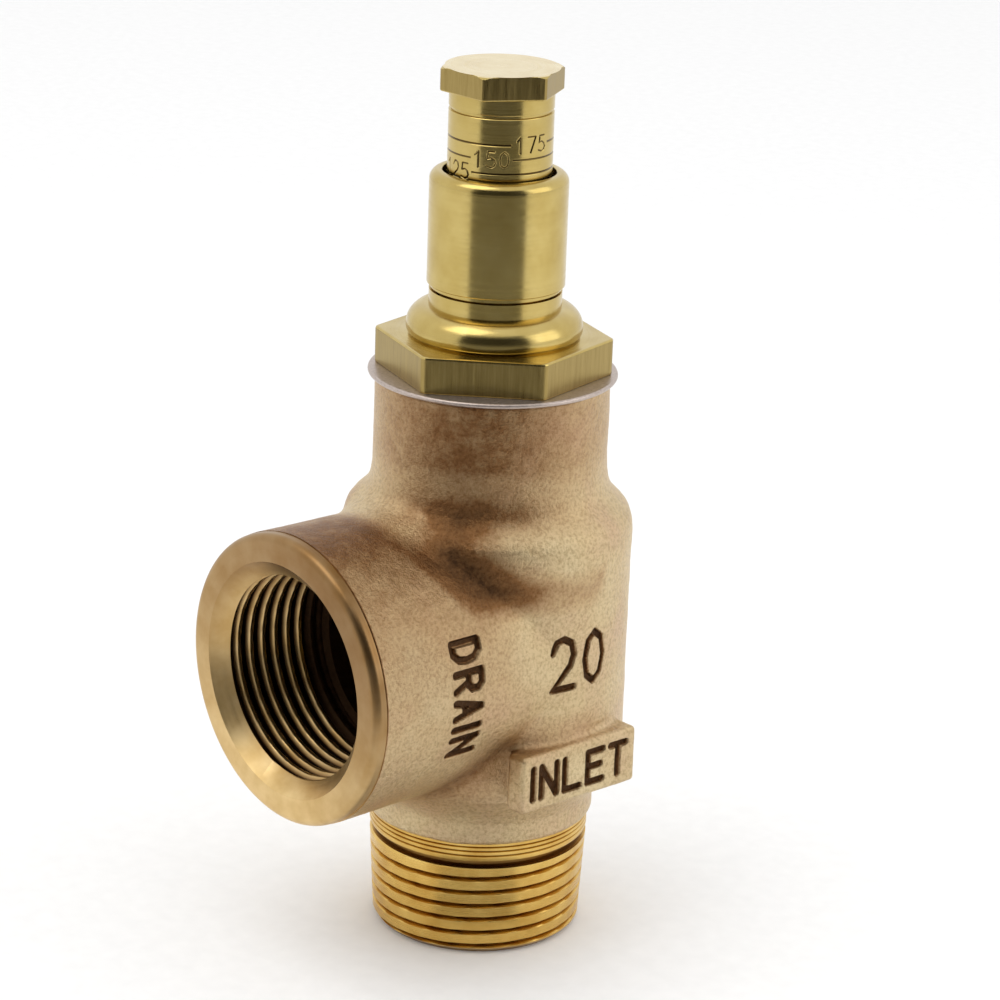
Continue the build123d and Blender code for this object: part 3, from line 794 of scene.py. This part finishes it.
# The rim is rounded, and a narrow band behind it is turned down to a small step in the skin.
RIM, TURNED = 1.0, BOSS_FACE - 0.1
for t in range(8):
    bend = t * math.pi / 14
    outlet_outline.append((TURNED - RIM + RIM * math.sin(bend), face - RIM + RIM * math.cos(bend)))
outlet_outline += [(TURNED, face - 1.7), (19.5, face - 1.5), (19.5, face + 4), (0, face + 4)]
outlet_tool = lathe("outlet tool", outlet_outline, 200, outlet_radii, axis="-y")
print("outlet thread from", round(thread_start, 2), "to", round(thread_end, 2), "mm, crest radius", crest)

# %% Bore tool
seat_foot, chamber_floor = foot("seat_ring"), head("seat_ring") - 2.2
guide_foot, rim = foot("guide_bush"), head("diaphragm") - 0.6
INLET_BORE, SEAT_BORE, CHAMBER, GUIDE_BORE, GUIDE_SEAT, CROWN_BORE = 8.5, 9.45, 13.65, 7.55, 9.0, 11.65
bore_tool = lathe("bore tool", [
    (0, -2), (9.1, -2), (INLET_BORE, 0.6), (INLET_BORE, seat_foot - 0.1), (SEAT_BORE, seat_foot - 0.1),
    (SEAT_BORE, chamber_floor), (CHAMBER, chamber_floor), (CHAMBER, guide_foot - 4.4),
    (GUIDE_BORE, guide_foot - 1.4), (GUIDE_BORE, guide_foot), (GUIDE_SEAT, guide_foot), (GUIDE_SEAT, rim),
    (CROWN_BORE, rim), (CROWN_BORE, neck_top + 3), (0, neck_top + 3)], 160)
print("chamber floor", round(chamber_floor, 2), "guide", round(guide_foot, 2), "ledge", round(rim, 2))

# %% Cut and join
def cut(piece, tool, operation, material):
    """One Boolean. Faces that the tool leaves keep the tool's material."""
    for slot in piece.data.materials:
        tool.data.materials.append(slot)
    if material.name not in [m.name for m in piece.data.materials]:
        piece.data.materials.append(material)
        tool.data.materials.append(material)
    number = [m.name for m in piece.data.materials].index(material.name)
    for polygon in tool.data.polygons:
        polygon.material_index = number
    step = piece.modifiers.new("cut", "BOOLEAN")
    step.operation, step.object, step.solver = operation, tool, "MANIFOLD"
    baked(piece)
    bpy.data.objects.remove(tool)
    print(operation.lower(), "leaves", len(piece.data.polygons), "faces")


cut(body, male_foot, "UNION", CUT_FOOT)
cut(body, outlet_tool, "DIFFERENCE", CUT_BRONZE)
cut(body, bore_tool, "DIFFERENCE", CUT_FOOT)


def line_waterway(piece):
    """Gives the cut walls of the chamber and of the bore behind the outlet thread the dark brown metal."""
    piece.data.materials.append(WATERWAY)
    stained = 0
    for polygon in piece.data.polygons:
        x, y, z = (v / MM for v in polygon.center)
        around, across = math.hypot(x, y), math.hypot(x, z - outlet_z)
        in_chamber = around < 14.2 and 15.5 < z < rim - 0.5 and (y > -12.5 or across > 14)
        in_outlet = across < 13.6 and -thread_end - 2.2 < y < 0
        if polygon.material_index and (in_chamber or in_outlet):
            polygon.material_index = len(piece.data.materials) - 1
            stained += 1
    print("waterway:", stained, "faces")


line_waterway(body)
shade(body, 38)

# %% [markdown]
# ### Patina and painted shade
#
# The valleys that no cloth reaches keep a brown film, and so do the floors of the marks and the
# threads. The skin is also browner up the neck and toward the top of the boss. Round the neck's
# foot, and up the side of the neck that faces the camera, the brown is painted shade: a dark
# reflection painted into the colour. The outlet's face has painted shade over its top and far side.
# One number per point tells the material how much film and painted shade lies there. It is worked
# out from the same distance function and from the point's own place, so it stays on the casting
# from every side.

# %% Film on the cast skin
def rise(value, start, width):
    """0 before start, 1 a width later, and straight between."""
    return np.clip((value - start) / width, 0, 1)


VALLEY_REACH, NECK_SHADE, FILLET_SHADE, BOSS_SHADE = 4.2, 0.17, 0.58, 0.37


def skin_film_and_shade(points):
    """The brown on the skin: oxide in the valleys, browner up the neck and toward the top of the boss, and
    painted shade round the neck's foot and up the neck's side toward the camera.
    """
    x, y, z = points.T
    _, barrel, boss = skin(points)
    valley = np.clip(1 - np.maximum(np.abs(barrel), np.abs(boss)) / VALLEY_REACH, 0, 1)
    flank = rise(x, 5, 5) + np.minimum(rise(-x, 9, 6), 0.5)
    above, below = rise(z, outlet_z + 7, 4), rise(-z, 5 - outlet_z, 5)
    # front is 1 on the side that faces the camera. What it weights round the neck's foot and up the neck is
    # painted shade, a dark reflection painted into the colour.
    front = np.clip(0.35 + 0.65 * np.cos(np.arctan2(y, x) + math.radians(50)), 0, 1)
    fillet = np.exp(-((z - 57.0) / 2.2) ** 2) * FILLET_SHADE * front ** 5
    neck = rise(z, 58, 4) * (NECK_SHADE + 0.3 * front ** 4)
    boss_top = rise(z, outlet_z - 9, 26) * rise(np.hypot(x, y), 17.6, 3) * BOSS_SHADE
    film_and_shade = valley * flank * (above + below * 0.45) + fillet + neck + boss_top
    return np.maximum(np.clip(film_and_shade, 0, 1), mark_depth(points, 0.35) * 1.1)


# %% Film on the cut faces
def cut_film_and_shade(points, film_and_shade):
    """Puts the brown of the outlet and the foot, with the painted shade on the outlet's face, in place of the
    skin's.
    """
    x, y, z = points.T
    across, around = np.hypot(x, z - outlet_z), np.hypot(x, y)
    # In the outlet the brown sits in the thread roots. Over the top and the far side of the face it is
    # painted shade.
    roots = 0.22 + rise(across, 12.3, 0.5) * rise(y, -30.5, 2.5) * 0.85
    film_and_shade = np.where((across < 14) & (y < -12), roots, film_and_shade)
    turn = np.arctan2(z - outlet_z, x)
    # ring is painted shade on the face: darker over its top and far side.
    ring = 0.4 + 0.13 * np.cos(turn) + 0.36 * np.sin(turn) + 0.08 * np.cos(2 * turn)
    film_and_shade = np.where((y + face < 1.76) & (across > 13.9), np.clip(ring, 0, 0.8), film_and_shade)
    # On the foot it sits in the lines of the collar and in the thread roots.
    lines = rise(COLLAR - around, 0, 0.25) * 0.8
    film_and_shade = np.where((z < 15) & (around < COLLAR + 0.1), lines, film_and_shade)
    return np.where(z < THREAD_TOP, rise(foot_crests(z) - around, 0.2, 0.4) * 0.7, film_and_shade)


def patina(mesh):
    """Writes the oxide and the painted shade on the mesh for the materials to read."""
    points = read_points(mesh)
    film_and_shade = cut_film_and_shade(points, skin_film_and_shade(points))
    layer = mesh.attributes.new("patina", "FLOAT", "POINT")
    layer.data.foreach_set("value", film_and_shade.astype(np.float32))
    print("film on the casting: mean", round(float(film_and_shade.mean()), 3), "most", round(float(film_and_shade.max()), 3))


patina(body.data)
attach(body, "valve_body")
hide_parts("body")

# %% [markdown]
# ## Bonnet, gasket ring and sleeve
#
# The bonnet is turned from hexagon bar: six flats are left from the bar, and a rounded flare leads
# up to the neck. The lathe makes it in one go, because a hexagon is only a radius that changes
# with the angle. The corners of the bar are cut back a little by the turning tool, and the flats
# keep the drawn finish of the bar.

# %% Hexagon helper
def hexagon(angles, corner_radius, corner_angle, rounding):
    """Radius of a hexagon at each angle, with its corners cut back to a smaller radius."""
    flat = corner_radius * math.cos(math.pi / 6)
    off = np.mod(angles - math.radians(corner_angle), math.pi / 3) - math.pi / 6
    return np.minimum(flat / np.cos(off), corner_radius - rounding)


# %% Bonnet
HEX_CORNER, HEX_TURN, HEX_HEIGHT = 14.2, 44.04, 4.35
SPIGOT, SPIGOT_BORE, BONNET_NECK, SLEEVE_SEAT, CAP_BORE = 11.53, 8.2, 7.85, 7.35, 6.6
hex_foot = neck_top + 0.6
hex_head = hex_foot + HEX_HEIGHT
spigot_foot, spring_room, thread_room = foot("bonnet"), foot("bonnet") + 8.0, sleeve_foot + 7.4


def bonnet_radii(angles, r, z):
    """Only the outer rows between the hexagon's two faces are six sided."""
    if not hex_foot - 0.01 <= z <= hex_head + 0.01 or r < 12.5:
        return np.full(len(angles), float(r))
    return hexagon(angles, HEX_CORNER, HEX_TURN, 0.16) - (HEX_CORNER - r)


DOME_FOOT, DOME_HEIGHT, DOME_SPREAD = hex_head + 1.0, 2.5, 2.6
dome = [(BONNET_NECK + DOME_SPREAD * math.cos(math.radians(t)),
         DOME_FOOT + DOME_HEIGHT * math.sin(math.radians(t))) for t in range(0, 91, 6)]
bonnet = lathe("bonnet", [
    (SPIGOT_BORE, spigot_foot), (11.35, spigot_foot), (SPIGOT, spigot_foot + 0.3), (SPIGOT, hex_foot),
    (14.0, hex_foot), (14.15, hex_foot + 0.05), (HEX_CORNER, hex_foot + 0.16), (HEX_CORNER, hex_foot + 0.3),
    (HEX_CORNER, hex_head - 0.34), (HEX_CORNER, hex_head - 0.2), (14.14, hex_head - 0.07), (14.0, hex_head),
    (13.8, hex_head), (9.95, hex_head), (9.9, hex_head + 0.03), (10.0, hex_head + 0.12),
    (10.2, hex_head + 0.22), (10.35, hex_head + 0.4), (10.43, hex_head + 0.65), *dome,
    (BONNET_NECK, sleeve_foot - 0.4), (7.5, sleeve_foot - 0.34), (SLEEVE_SEAT, sleeve_foot - 0.3),
    (SLEEVE_SEAT, sleeve_foot + 7.2), (7.15, thread_room), (CAP_BORE, thread_room),
    (CAP_BORE, spring_room + 0.6), (SPIGOT_BORE, spring_room)],
    360, bonnet_radii, math.radians(HEX_TURN))
bonnet.data.materials.append(BRASS)


def draw_flats(piece, low, high, least):
    """Gives the upright faces of a hexagon the drawn finish."""
    piece.data.materials.append(DRAWN)
    drawn = 0
    for polygon in piece.data.polygons:
        x, y, z = (v / MM for v in polygon.center)
        if low < z < high and math.hypot(x, y) > least and abs(polygon.normal.z) < 0.3:
            polygon.material_index = 1
            drawn += 1
    print(piece.name, "has", len(piece.data.polygons), "faces,", drawn, "of them drawn flats")


draw_flats(bonnet, hex_foot, hex_head, 12)
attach(bonnet, "valve_body")
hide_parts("bonnet")

# %% [markdown]
# The gasket is a thin ring of pressed fibre with a metallic sheen. It stands proud of the neck
# and of the hexagon, so its rim catches the light.

# %% Gasket ring
GASKET_INNER, GASKET_OUTER, GASKET_HEIGHT, GASKET_ROUND = 11.6, 14.8, 0.58, 0.28


def fibre():
    """Pressed fibre, grey with a warm tint."""
    material, tree, shader = begin_material("gasket fibre", 0.85, 0.3)
    threads = grain(tree, stretched(tree, (1, 1, 2.5)), 2.4, 5.0, 0.65)
    tint = ramp(tree, threads, [(0.3, from_display(166, 152, 144)), (0.7, from_display(202, 188, 178))])
    tree.links.new(tint, shader.inputs["Base Color"])
    tree.links.new(grey(tree, threads, 0.26, 0.42), shader.inputs["Roughness"])
    tree.links.new(relief(tree, threads, 0.04, 0.8), shader.inputs["Normal"])
    return material


gasket = lathe("gasket_washer", rounded([
    (GASKET_INNER, neck_top), (GASKET_OUTER, neck_top, GASKET_ROUND),
    (GASKET_OUTER, neck_top + GASKET_HEIGHT, GASKET_ROUND), (GASKET_INNER, hex_foot)], 4), 180)
gasket.data.materials.append(fibre())
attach(gasket, "valve_body")
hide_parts("gasket_ring")
print("gasket ring:", 2 * GASKET_OUTER, "mm across and", GASKET_HEIGHT, "mm thick at its rim")

# %% [markdown]
# The reading sleeve sits over the bonnet's neck. Its top edge is the line that the scale is
# read at, and a quarter circle rounds its shoulder.

# %% Reading sleeve
SLEEVE, MOUTH, SHOULDER = 8.14, 6.66, 1.18
shoulder = [(SLEEVE - SHOULDER + SHOULDER * math.cos(math.radians(t)),
             sleeve_head - SHOULDER + SHOULDER * math.sin(math.radians(t))) for t in range(0, 91, 9)]
sleeve = lathe("reading_sleeve_turned", [
    (7.4, sleeve_foot - 0.15), (7.72, sleeve_foot - 0.15), (7.72, sleeve_foot + 0.26),
    (8.06, sleeve_foot + 0.3), (SLEEVE, sleeve_foot + 0.4), (SLEEVE, sleeve_head - 1.6), *shoulder,
    (6.75, sleeve_head), (MOUTH, sleeve_head - 0.08), (MOUTH, sleeve_foot + 7.5), (7.4, sleeve_foot + 7.5)],
    240)
sleeve.data.materials.append(BRASS)
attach(sleeve, "valve_body")
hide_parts("reading_sleeve")
print("sleeve:", 2 * SLEEVE, "mm across, mouth", 2 * MOUTH, "mm")

# %% [markdown]
# ## Adjusting cap
#
# The cap screws into the bonnet, and its skirt carries the scale. Each engraved ring stops for
# its number, so the skirt is a fine net of points whose radius dips along the strokes. The net
# has to be finer than a stroke, about 0.05 mm, so only the graduated stretch gets it.

# %% Scale strokes
SKIRT, SCALE_DEPTH = 6.13, 0.09
FIRST_RING, RING_GAP = 0.81, 1.69
DIGIT_HEIGHT, DIGIT_WIDTH, DIGIT_GAP = 1.85, 1.05, 0.5
# Each ring is its count from the first one in sight over the sleeve, its number, and the number's angle.
scale_marks = [(k, str(125 + 25 * k), -96.5 + 45.6 * k) for k in range(-3, 3)]


def ring_height(k):
    """The height of ring k, counted from the first one in sight over the sleeve."""
    return sleeve_head + FIRST_RING + k * RING_GAP


def stroke_distance(u, v, segments):
    """Distance on the flat from (u, v) to the nearest of some strokes."""
    best = np.full(np.broadcast(u, v).shape, 1e9)
    for (u0, v0), (u1, v1) in segments:
        du, dv = u1 - u0, v1 - v0
        share = np.clip(((u - u0) * du + (v - v0) * dv) / (du * du + dv * dv), 0, 1)
        best = np.minimum(best, np.hypot(u - u0 - share * du, v - v0 - share * dv))
    return best


def engraved(angles, z):
    """How deep the scale is cut at each angle on one height, from 0 to 1."""
    depth = np.zeros(len(angles))
    for k, number, middle in scale_marks:
        off = (np.degrees(angles) - middle + 180) % 360 - 180
        along, up = np.radians(off) * SKIRT, z - ring_height(k)
        if abs(up) < 1.3:
            word = strokes(number, DIGIT_HEIGHT, DIGIT_WIDTH, DIGIT_GAP)
            digits = stroke_distance(along, np.full(len(angles), up), word)
            depth = np.maximum(depth, np.clip((0.08 - digits) / 0.08 + 0.5, 0, 1))
        if abs(up) < 0.4:
            gap = 3 * DIGIT_WIDTH / 2 + 0.95
            line = np.clip((0.10 - abs(up)) / 0.07 + 0.5, 0, 1)
            depth = np.maximum(depth, np.where(np.abs(along) > gap, line, 0))
    return depth


print("scale:", [number for _, number, _ in scale_marks])

# %% Cap mesh
skirt_low, skirt_high = cap_foot + 9.6, head("adjusting_cap") - 2.87
groove = skirt_high - 1.96
net_low, net_high = ring_height(-3) - 1.2, ring_height(2) + 1.2
NET = 0.052
net_rows = int((net_high - net_low) / NET)
CAP_CORNER, CAP_TURN = 7.40, 61.7
SMOOTH_SKIRT = SKIRT + 0.00001  # a hair wider than SKIRT, so cap_radii leaves these rows plain


def cap_radii(angles, r, z):
    """The scale on the net, six sides on the head, and plain rows elsewhere."""
    if r == SKIRT and net_low - 1e-6 <= z <= net_high + 1e-6:
        return SKIRT - SCALE_DEPTH * engraved(angles, z)
    if z > skirt_high + 0.05 and r >= 7.0:
        prism = hexagon(angles, CAP_CORNER, CAP_TURN, 0.10) - (CAP_CORNER - r)
        return np.minimum(prism, 7.42 + (cap_head - 0.34 - z) * 1.75)
    return np.full(len(angles), float(r))


hex_rows = [(7.3, skirt_high + 0.06), (7.36, skirt_high + 0.1), (CAP_CORNER, skirt_high + 0.18),
            (CAP_CORNER, skirt_high + 0.3)]
hex_rows += rows_between(CAP_CORNER, cap_head - 1.1, CAP_CORNER, cap_head - 0.04, 22)
cap = lathe("graduated_cap", [
    (5.2, cap_foot), (6.0, cap_foot), (6.5, cap_foot + 0.5), (6.5, skirt_low - 0.2), (6.3, skirt_low),
    (SMOOTH_SKIRT, skirt_low + 0.02), *rows_between(SKIRT, net_low, SKIRT, net_high, net_rows),
    (SKIRT, net_high), (SMOOTH_SKIRT, groove - 0.28), (6.08, groove - 0.2), (5.86, groove - 0.12),
    (5.86, groove + 0.12), (6.08, groove + 0.2), (SMOOTH_SKIRT, groove + 0.28), (SMOOTH_SKIRT, skirt_high),
    *hex_rows, (7.36, cap_head - 0.03), (6.7, cap_head), (6.5, cap_head), (3, cap_head), (0, cap_head),
    (0, cap_foot + 14.6), (5.2, cap_foot + 14.6)],
    720, cap_radii, math.radians(CAP_TURN), sharp=32)


def ink(mesh):
    """Marks the engraved points, so that their floor can hold dirt and painted shade."""
    points = read_points(mesh)
    around = np.hypot(points[:, 0], points[:, 1])
    dips = (points[:, 2] > net_low) & (points[:, 2] < net_high) & (around > 5.9) & (around < SKIRT - 0.01)
    layer = mesh.attributes.new("ink", "FLOAT", "POINT")
    layer.data.foreach_set("value", np.where(dips, (SKIRT - around) / SCALE_DEPTH, 0).astype(np.float32))


ink(cap.data)
print("cap: rings at", [round(ring_height(k), 2) for k, _, _ in scale_marks])


# %% Cap material
def graduated_brass():
    """The turned brass, with dirt and painted shade on the floor of the scale."""
    material = BRASS.copy()
    material.name = "graduated brass"
    tree = material.node_tree
    shader = tree.nodes["Principled BSDF"]
    plain = shader.inputs["Base Color"].links[0].from_socket
    # The floor of the scale is darkened: dirt, and painted shade in the engraved strokes.
    dark = blend_colours(tree, attribute(tree, "ink"), plain, from_display(84, 66, 36))
    tree.links.new(dark, shader.inputs["Base Color"])
    return material


cap.data.materials.append(graduated_brass())
draw_flats(cap, skirt_high + 0.1, cap_head, 6.3)
# The cap's top takes the paler faced brass, a painted highlight.
cap.data.materials.append(FACED_HIGHLIGHT)
top_faces = [p for p in cap.data.polygons if p.center.z > (cap_head - 0.1) * MM and p.normal.z > 0.7]
for polygon in top_faces:
    polygon.material_index = 2
print("cap:", len(top_faces), "faces on its faced_and_lit top")
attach(cap, "cap")
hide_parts("adjusting_cap")

# %% [markdown]
# ## Spring and diaphragm
#
# The spring has to shorten from either end, so it is drawn as two lengths of one wire. Real
# springs have closed ends, so the pitch drops to one wire width there.

# %% Spring
def drawn_steel():
    """Bright steel wire, with fine streaks along the axis."""
    material, tree, shader = begin_material("drawn steel", 1.0, 0.3)
    fine = grain(tree, stretched(tree, (1, 1, 6)), 3.0, 4.0)
    colour = ramp(tree, fine, [(0.3, from_display(150, 150, 150)), (0.7, from_display(186, 186, 184))])
    tree.links.new(colour, shader.inputs["Base Color"])
    tree.links.new(grey(tree, fine, 0.25, 0.42), shader.inputs["Roughness"])
    tree.links.new(relief(tree, fine, 0.015, 0.5), shader.inputs["Normal"])
    return material


STEEL = drawn_steel()
WIRE, COIL, COILS = 1.4, 4.05, 9.0
spring_foot, spring_head = foot("spring") + WIRE / 2, head("spring") - WIRE / 2


def coil_height(share):
    """Height along the wire: closed for the first and last turn, open between."""
    turn = share * COILS
    closed = WIRE * 1.02
    open_pitch = (spring_head - spring_foot - 2 * closed) / (COILS - 2)
    if turn < 1:
        return spring_foot + turn * closed
    if turn > COILS - 1:
        return spring_head - (COILS - turn) * closed
    return spring_foot + closed + (turn - 1) * open_pitch


def wire_length(name, first, last):
    """A round wire between two shares of the spring."""
    points, faces, sides, steps = [], [], 14, 280
    for i in range(steps + 1):
        share = first + (last - first) * i / steps
        angle = share * COILS * 2 * math.pi
        out = Vector((math.cos(angle), math.sin(angle), 0))
        ahead = coil_height(min(share + 1e-3, 1)) - coil_height(max(share - 1e-3, 0))
        run = Vector((-out.y, out.x, 0)) * COIL * 2e-3 * COILS * 2 * math.pi + Vector((0, 0, ahead))
        across = out.cross(run.normalized())
        middle = out * COIL + Vector((0, 0, coil_height(share)))
        for k in range(sides):
            turn = 2 * math.pi * k / sides
            points.append(tuple(middle + (out * math.cos(turn) + across * math.sin(turn)) * WIRE / 2))
    for i in range(steps):
        for k in range(sides):
            a, b = i * sides + k, i * sides + (k + 1) % sides
            faces.append([a, b, b + sides, a + sides])
    faces.append(list(range(sides)))
    faces.append([steps * sides + k for k in range(sides)])
    return new_object(name, points, faces, 50)


JOINT_AT = 0.5
upper_coils = wire_length("spring_upper_coils", JOINT_AT, 1.0)
lower_coils = wire_length("spring_lower_coils", 0.0, JOINT_AT)
for coils in (upper_coils, lower_coils):
    coils.data.materials.append(STEEL)
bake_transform(upper_coils)
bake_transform(lower_coils)
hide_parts("spring")
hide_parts("spring")
print("spring:", COILS, "coils from", round(spring_foot, 2), "to", round(spring_head, 2), "mm")

# %% [markdown]
# The diaphragm is a rubber disc clamped at its rim. Its centre hangs a little lower, and a
# rolling slope joins the two.

# %% Diaphragm
def rubber():
    """Black rubber with a faint bloom."""
    material, tree, shader = begin_material("black rubber", 0.0, 0.6)
    bloom = grain(tree, stretched(tree, (1, 1, 1)), 1.2, 4.0)
    tree.links.new(ramp(tree, bloom, [(0.3, (0.012, 0.012, 0.013)), (0.7, (0.03, 0.029, 0.028))]),
                   shader.inputs["Base Color"])
    tree.links.new(grey(tree, bloom, 0.5, 0.7), shader.inputs["Roughness"])
    tree.links.new(relief(tree, bloom, 0.03, 0.5), shader.inputs["Normal"])
    return material


RUBBER = rubber()
SHEET, PLATE_EDGE, SLOPE_WIDTH, SLOPE_STEPS = 0.6, 7.1, 1.85, 8
dish_low, rim_low = foot("diaphragm"), head("diaphragm") - SHEET
slope = [(PLATE_EDGE + SLOPE_WIDTH * i / SLOPE_STEPS, (1 - math.cos(math.pi * i / SLOPE_STEPS)) / 2)
         for i in range(SLOPE_STEPS + 1)]
under = [(r, dish_low + (rim_low - dish_low) * s) for r, s in slope]
diaphragm = lathe("rolling_diaphragm", [(2.3, dish_low), *under, (11.5, rim_low), (11.5, rim_low + SHEET)]
                  + [(r, z + SHEET) for r, z in reversed(under)] + [(2.3, dish_low + SHEET)], 120)
diaphragm.data.materials.append(RUBBER)
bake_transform(diaphragm)
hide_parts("diaphragm")
print("diaphragm: centre", round(dish_low, 2), "mm, rim", round(rim_low, 2), "mm, sheet", SHEET, "mm")

# %% [markdown]
# ## Inner parts
#
# The seat, disc, stem and spring seats keep the model's own meshes, because their shapes are
# already right. They only need the finishes.

# %% Finish the inner parts
FINISHES = {"brass": BRASS, "steel": STEEL, "rubber": RUBBER, "bronze": BRONZE}
for part in frame["record"]["subparts"]:
    name = part["node"]
    mesh_object = frame["nodes"][name]
    if not mesh_object.hide_render and part["material_slot"] in FINISHES:
        mesh_object.data.materials.clear()
        mesh_object.data.materials.append(FINISHES[part["material_slot"]])
        print(name, "is", FINISHES[part["material_slot"]].name)

# %% [markdown]
# ## Light, floor and camera
#
# A product table: a pale floor, a white room, and two large soft lamps. Polished brass shows
# mostly its surroundings, and in an all white room it would look flat. A tall curved card in
# front of the valve, pale at its foot and nearly black at its head, draws the dark band down
# the middle. A second card lies flat on the table and does the same for the foot thread. Both
# are seen only in reflections.

# %% Floor and room
def floor_finish():
    """Matt paper, with hardly any change of tone."""
    material, tree, shader = begin_material("pale table", 0.0, 0.9)
    paper = grain(tree, stretched(tree, (1, 1, 1)), 0.4, 3.0)
    tone = ramp(tree, paper, [(0.3, (0.90, 0.90, 0.90)), (0.7, (0.93, 0.93, 0.93))])
    tree.links.new(tone, shader.inputs["Base Color"])
    return material


EDGE = 3000
floor = new_object("table", [(-EDGE, -EDGE, 0), (EDGE, -EDGE, 0), (EDGE, EDGE, 0), (-EDGE, EDGE, 0)],
                   [[0, 1, 2, 3]])
floor.data.materials.append(floor_finish())
world = bpy.data.worlds.new("white room")
scene.world = world
world.use_nodes = True
world.node_tree.nodes["Background"].inputs["Color"].default_value = (1.0, 1.0, 1.0, 1.0)
world.node_tree.nodes["Background"].inputs["Strength"].default_value = 1.0
scene.view_settings.view_transform = "Standard"
scene.view_settings.look = "None"
print("table:", 2 * EDGE, "mm square")

# %% Camera
TILT, SWING, ROLL = math.radians(18.888), math.radians(48.54), math.radians(1.995)
DISTANCE, AIM_SIDE, AIM_HEIGHT = 418.24, 1.378, 53.98
LENS, SENSOR = 125.85, 36
side = Vector((math.cos(SWING), math.sin(SWING), 0))
ahead = Vector((-math.sin(SWING) * math.cos(TILT), math.cos(SWING) * math.cos(TILT), -math.sin(TILT)))
above = side.cross(ahead)
right = side * math.cos(ROLL) + above * math.sin(ROLL)
up = above * math.cos(ROLL) - side * math.sin(ROLL)
place = side * AIM_SIDE + Vector((0, 0, AIM_HEIGHT)) - ahead * DISTANCE
camera = bpy.data.objects.new("camera", bpy.data.cameras.new("camera"))
camera.data.lens, camera.data.sensor_width = LENS, SENSOR
camera.data.clip_start, camera.data.clip_end = 0.01, 10
turn = Matrix((right, up, -ahead)).transposed().to_4x4()
camera.matrix_world = Matrix.Translation(place * MM) @ turn
scene.collection.objects.link(camera)
scene.camera = camera
print("camera at, mm:", [round(v, 1) for v in place])

# %% Lamps
TOWARDS_CAMERA = math.degrees(SWING) - 90
LAMP_AIM = Vector((0, 0, 55)) * MM


def lamp(name, swing, height, distance, size, power):
    """A square soft lamp aimed at the valve. Its swing is from the camera's own side, in degrees."""
    angle = math.radians(TOWARDS_CAMERA + swing)
    spot = Vector((math.cos(angle) * distance, math.sin(angle) * distance, height)) * MM
    data = bpy.data.lights.new(name, "AREA")
    data.shape, data.size, data.energy = "SQUARE", size * MM, power
    made = bpy.data.objects.new(name, data)
    aim = (LAMP_AIM - spot).to_track_quat("-Z", "Y").to_matrix().to_4x4()
    made.matrix_world = Matrix.Translation(spot) @ aim
    scene.collection.objects.link(made)
    print(name, "at, mm:", [round(v / MM) for v in spot])


lamp("overhead", -60, 620, 300, 420, 0.9)
lamp("right fill", 75, 260, 420, 320, 0.3)

# %% Reflected cards
SHADE_FOOT, SHADE_HEAD = 60, 82


def card(name, left, right, near, far, foot_shade, head_shade):
    """A curved card that only reflections see, from left to right of the camera in degrees.

    near and far are (reach, height) of its two edges. Its shade goes from foot_shade to
    head_shade between the heights SHADE_FOOT and SHADE_HEAD.
    """
    steps = 24
    points, faces = [], []
    for i in range(steps + 1):
        angle = math.radians(TOWARDS_CAMERA + left + (right - left) * i / steps)
        for reach, z in (near, far):
            points.append((math.cos(angle) * reach, math.sin(angle) * reach, z))
    for i in range(steps):
        faces.append([2 * i, 2 * i + 2, 2 * i + 3, 2 * i + 1])
    made = new_object(name, points, faces)
    material, tree, shader = begin_material(name + " cloth", 0.0, 1.0)
    weave = grain(tree, stretched(tree, (1, 1, 1)), 0.5, 2.0)
    place = node(tree, "ShaderNodeSeparateXYZ")
    tree.links.new(stretched(tree, (1, 1, 1)), place.inputs[0])
    level = grey(tree, place.outputs["Z"], 0, 1, SHADE_FOOT, SHADE_HEAD)
    level = ramp(tree, level, [(0.0, (foot_shade,) * 3), (1.0, (head_shade,) * 3)])
    woven = blend_colours(tree, grey(tree, weave, 0, 0.12), level, (0.2, 0.2, 0.2))
    tree.links.new(woven, shader.inputs["Base Color"])
    made.data.materials.append(material)
    made.visible_camera = made.visible_diffuse = made.visible_shadow = False
    print(name, "spans", right - left, "degrees")


card("dark card", -44, 46, (150, 0.5), (150, 240), 0.24, 0.02)
card("table card", -32, 34, (19, 0.4), (35, 0.4), 0.5, 0.5)
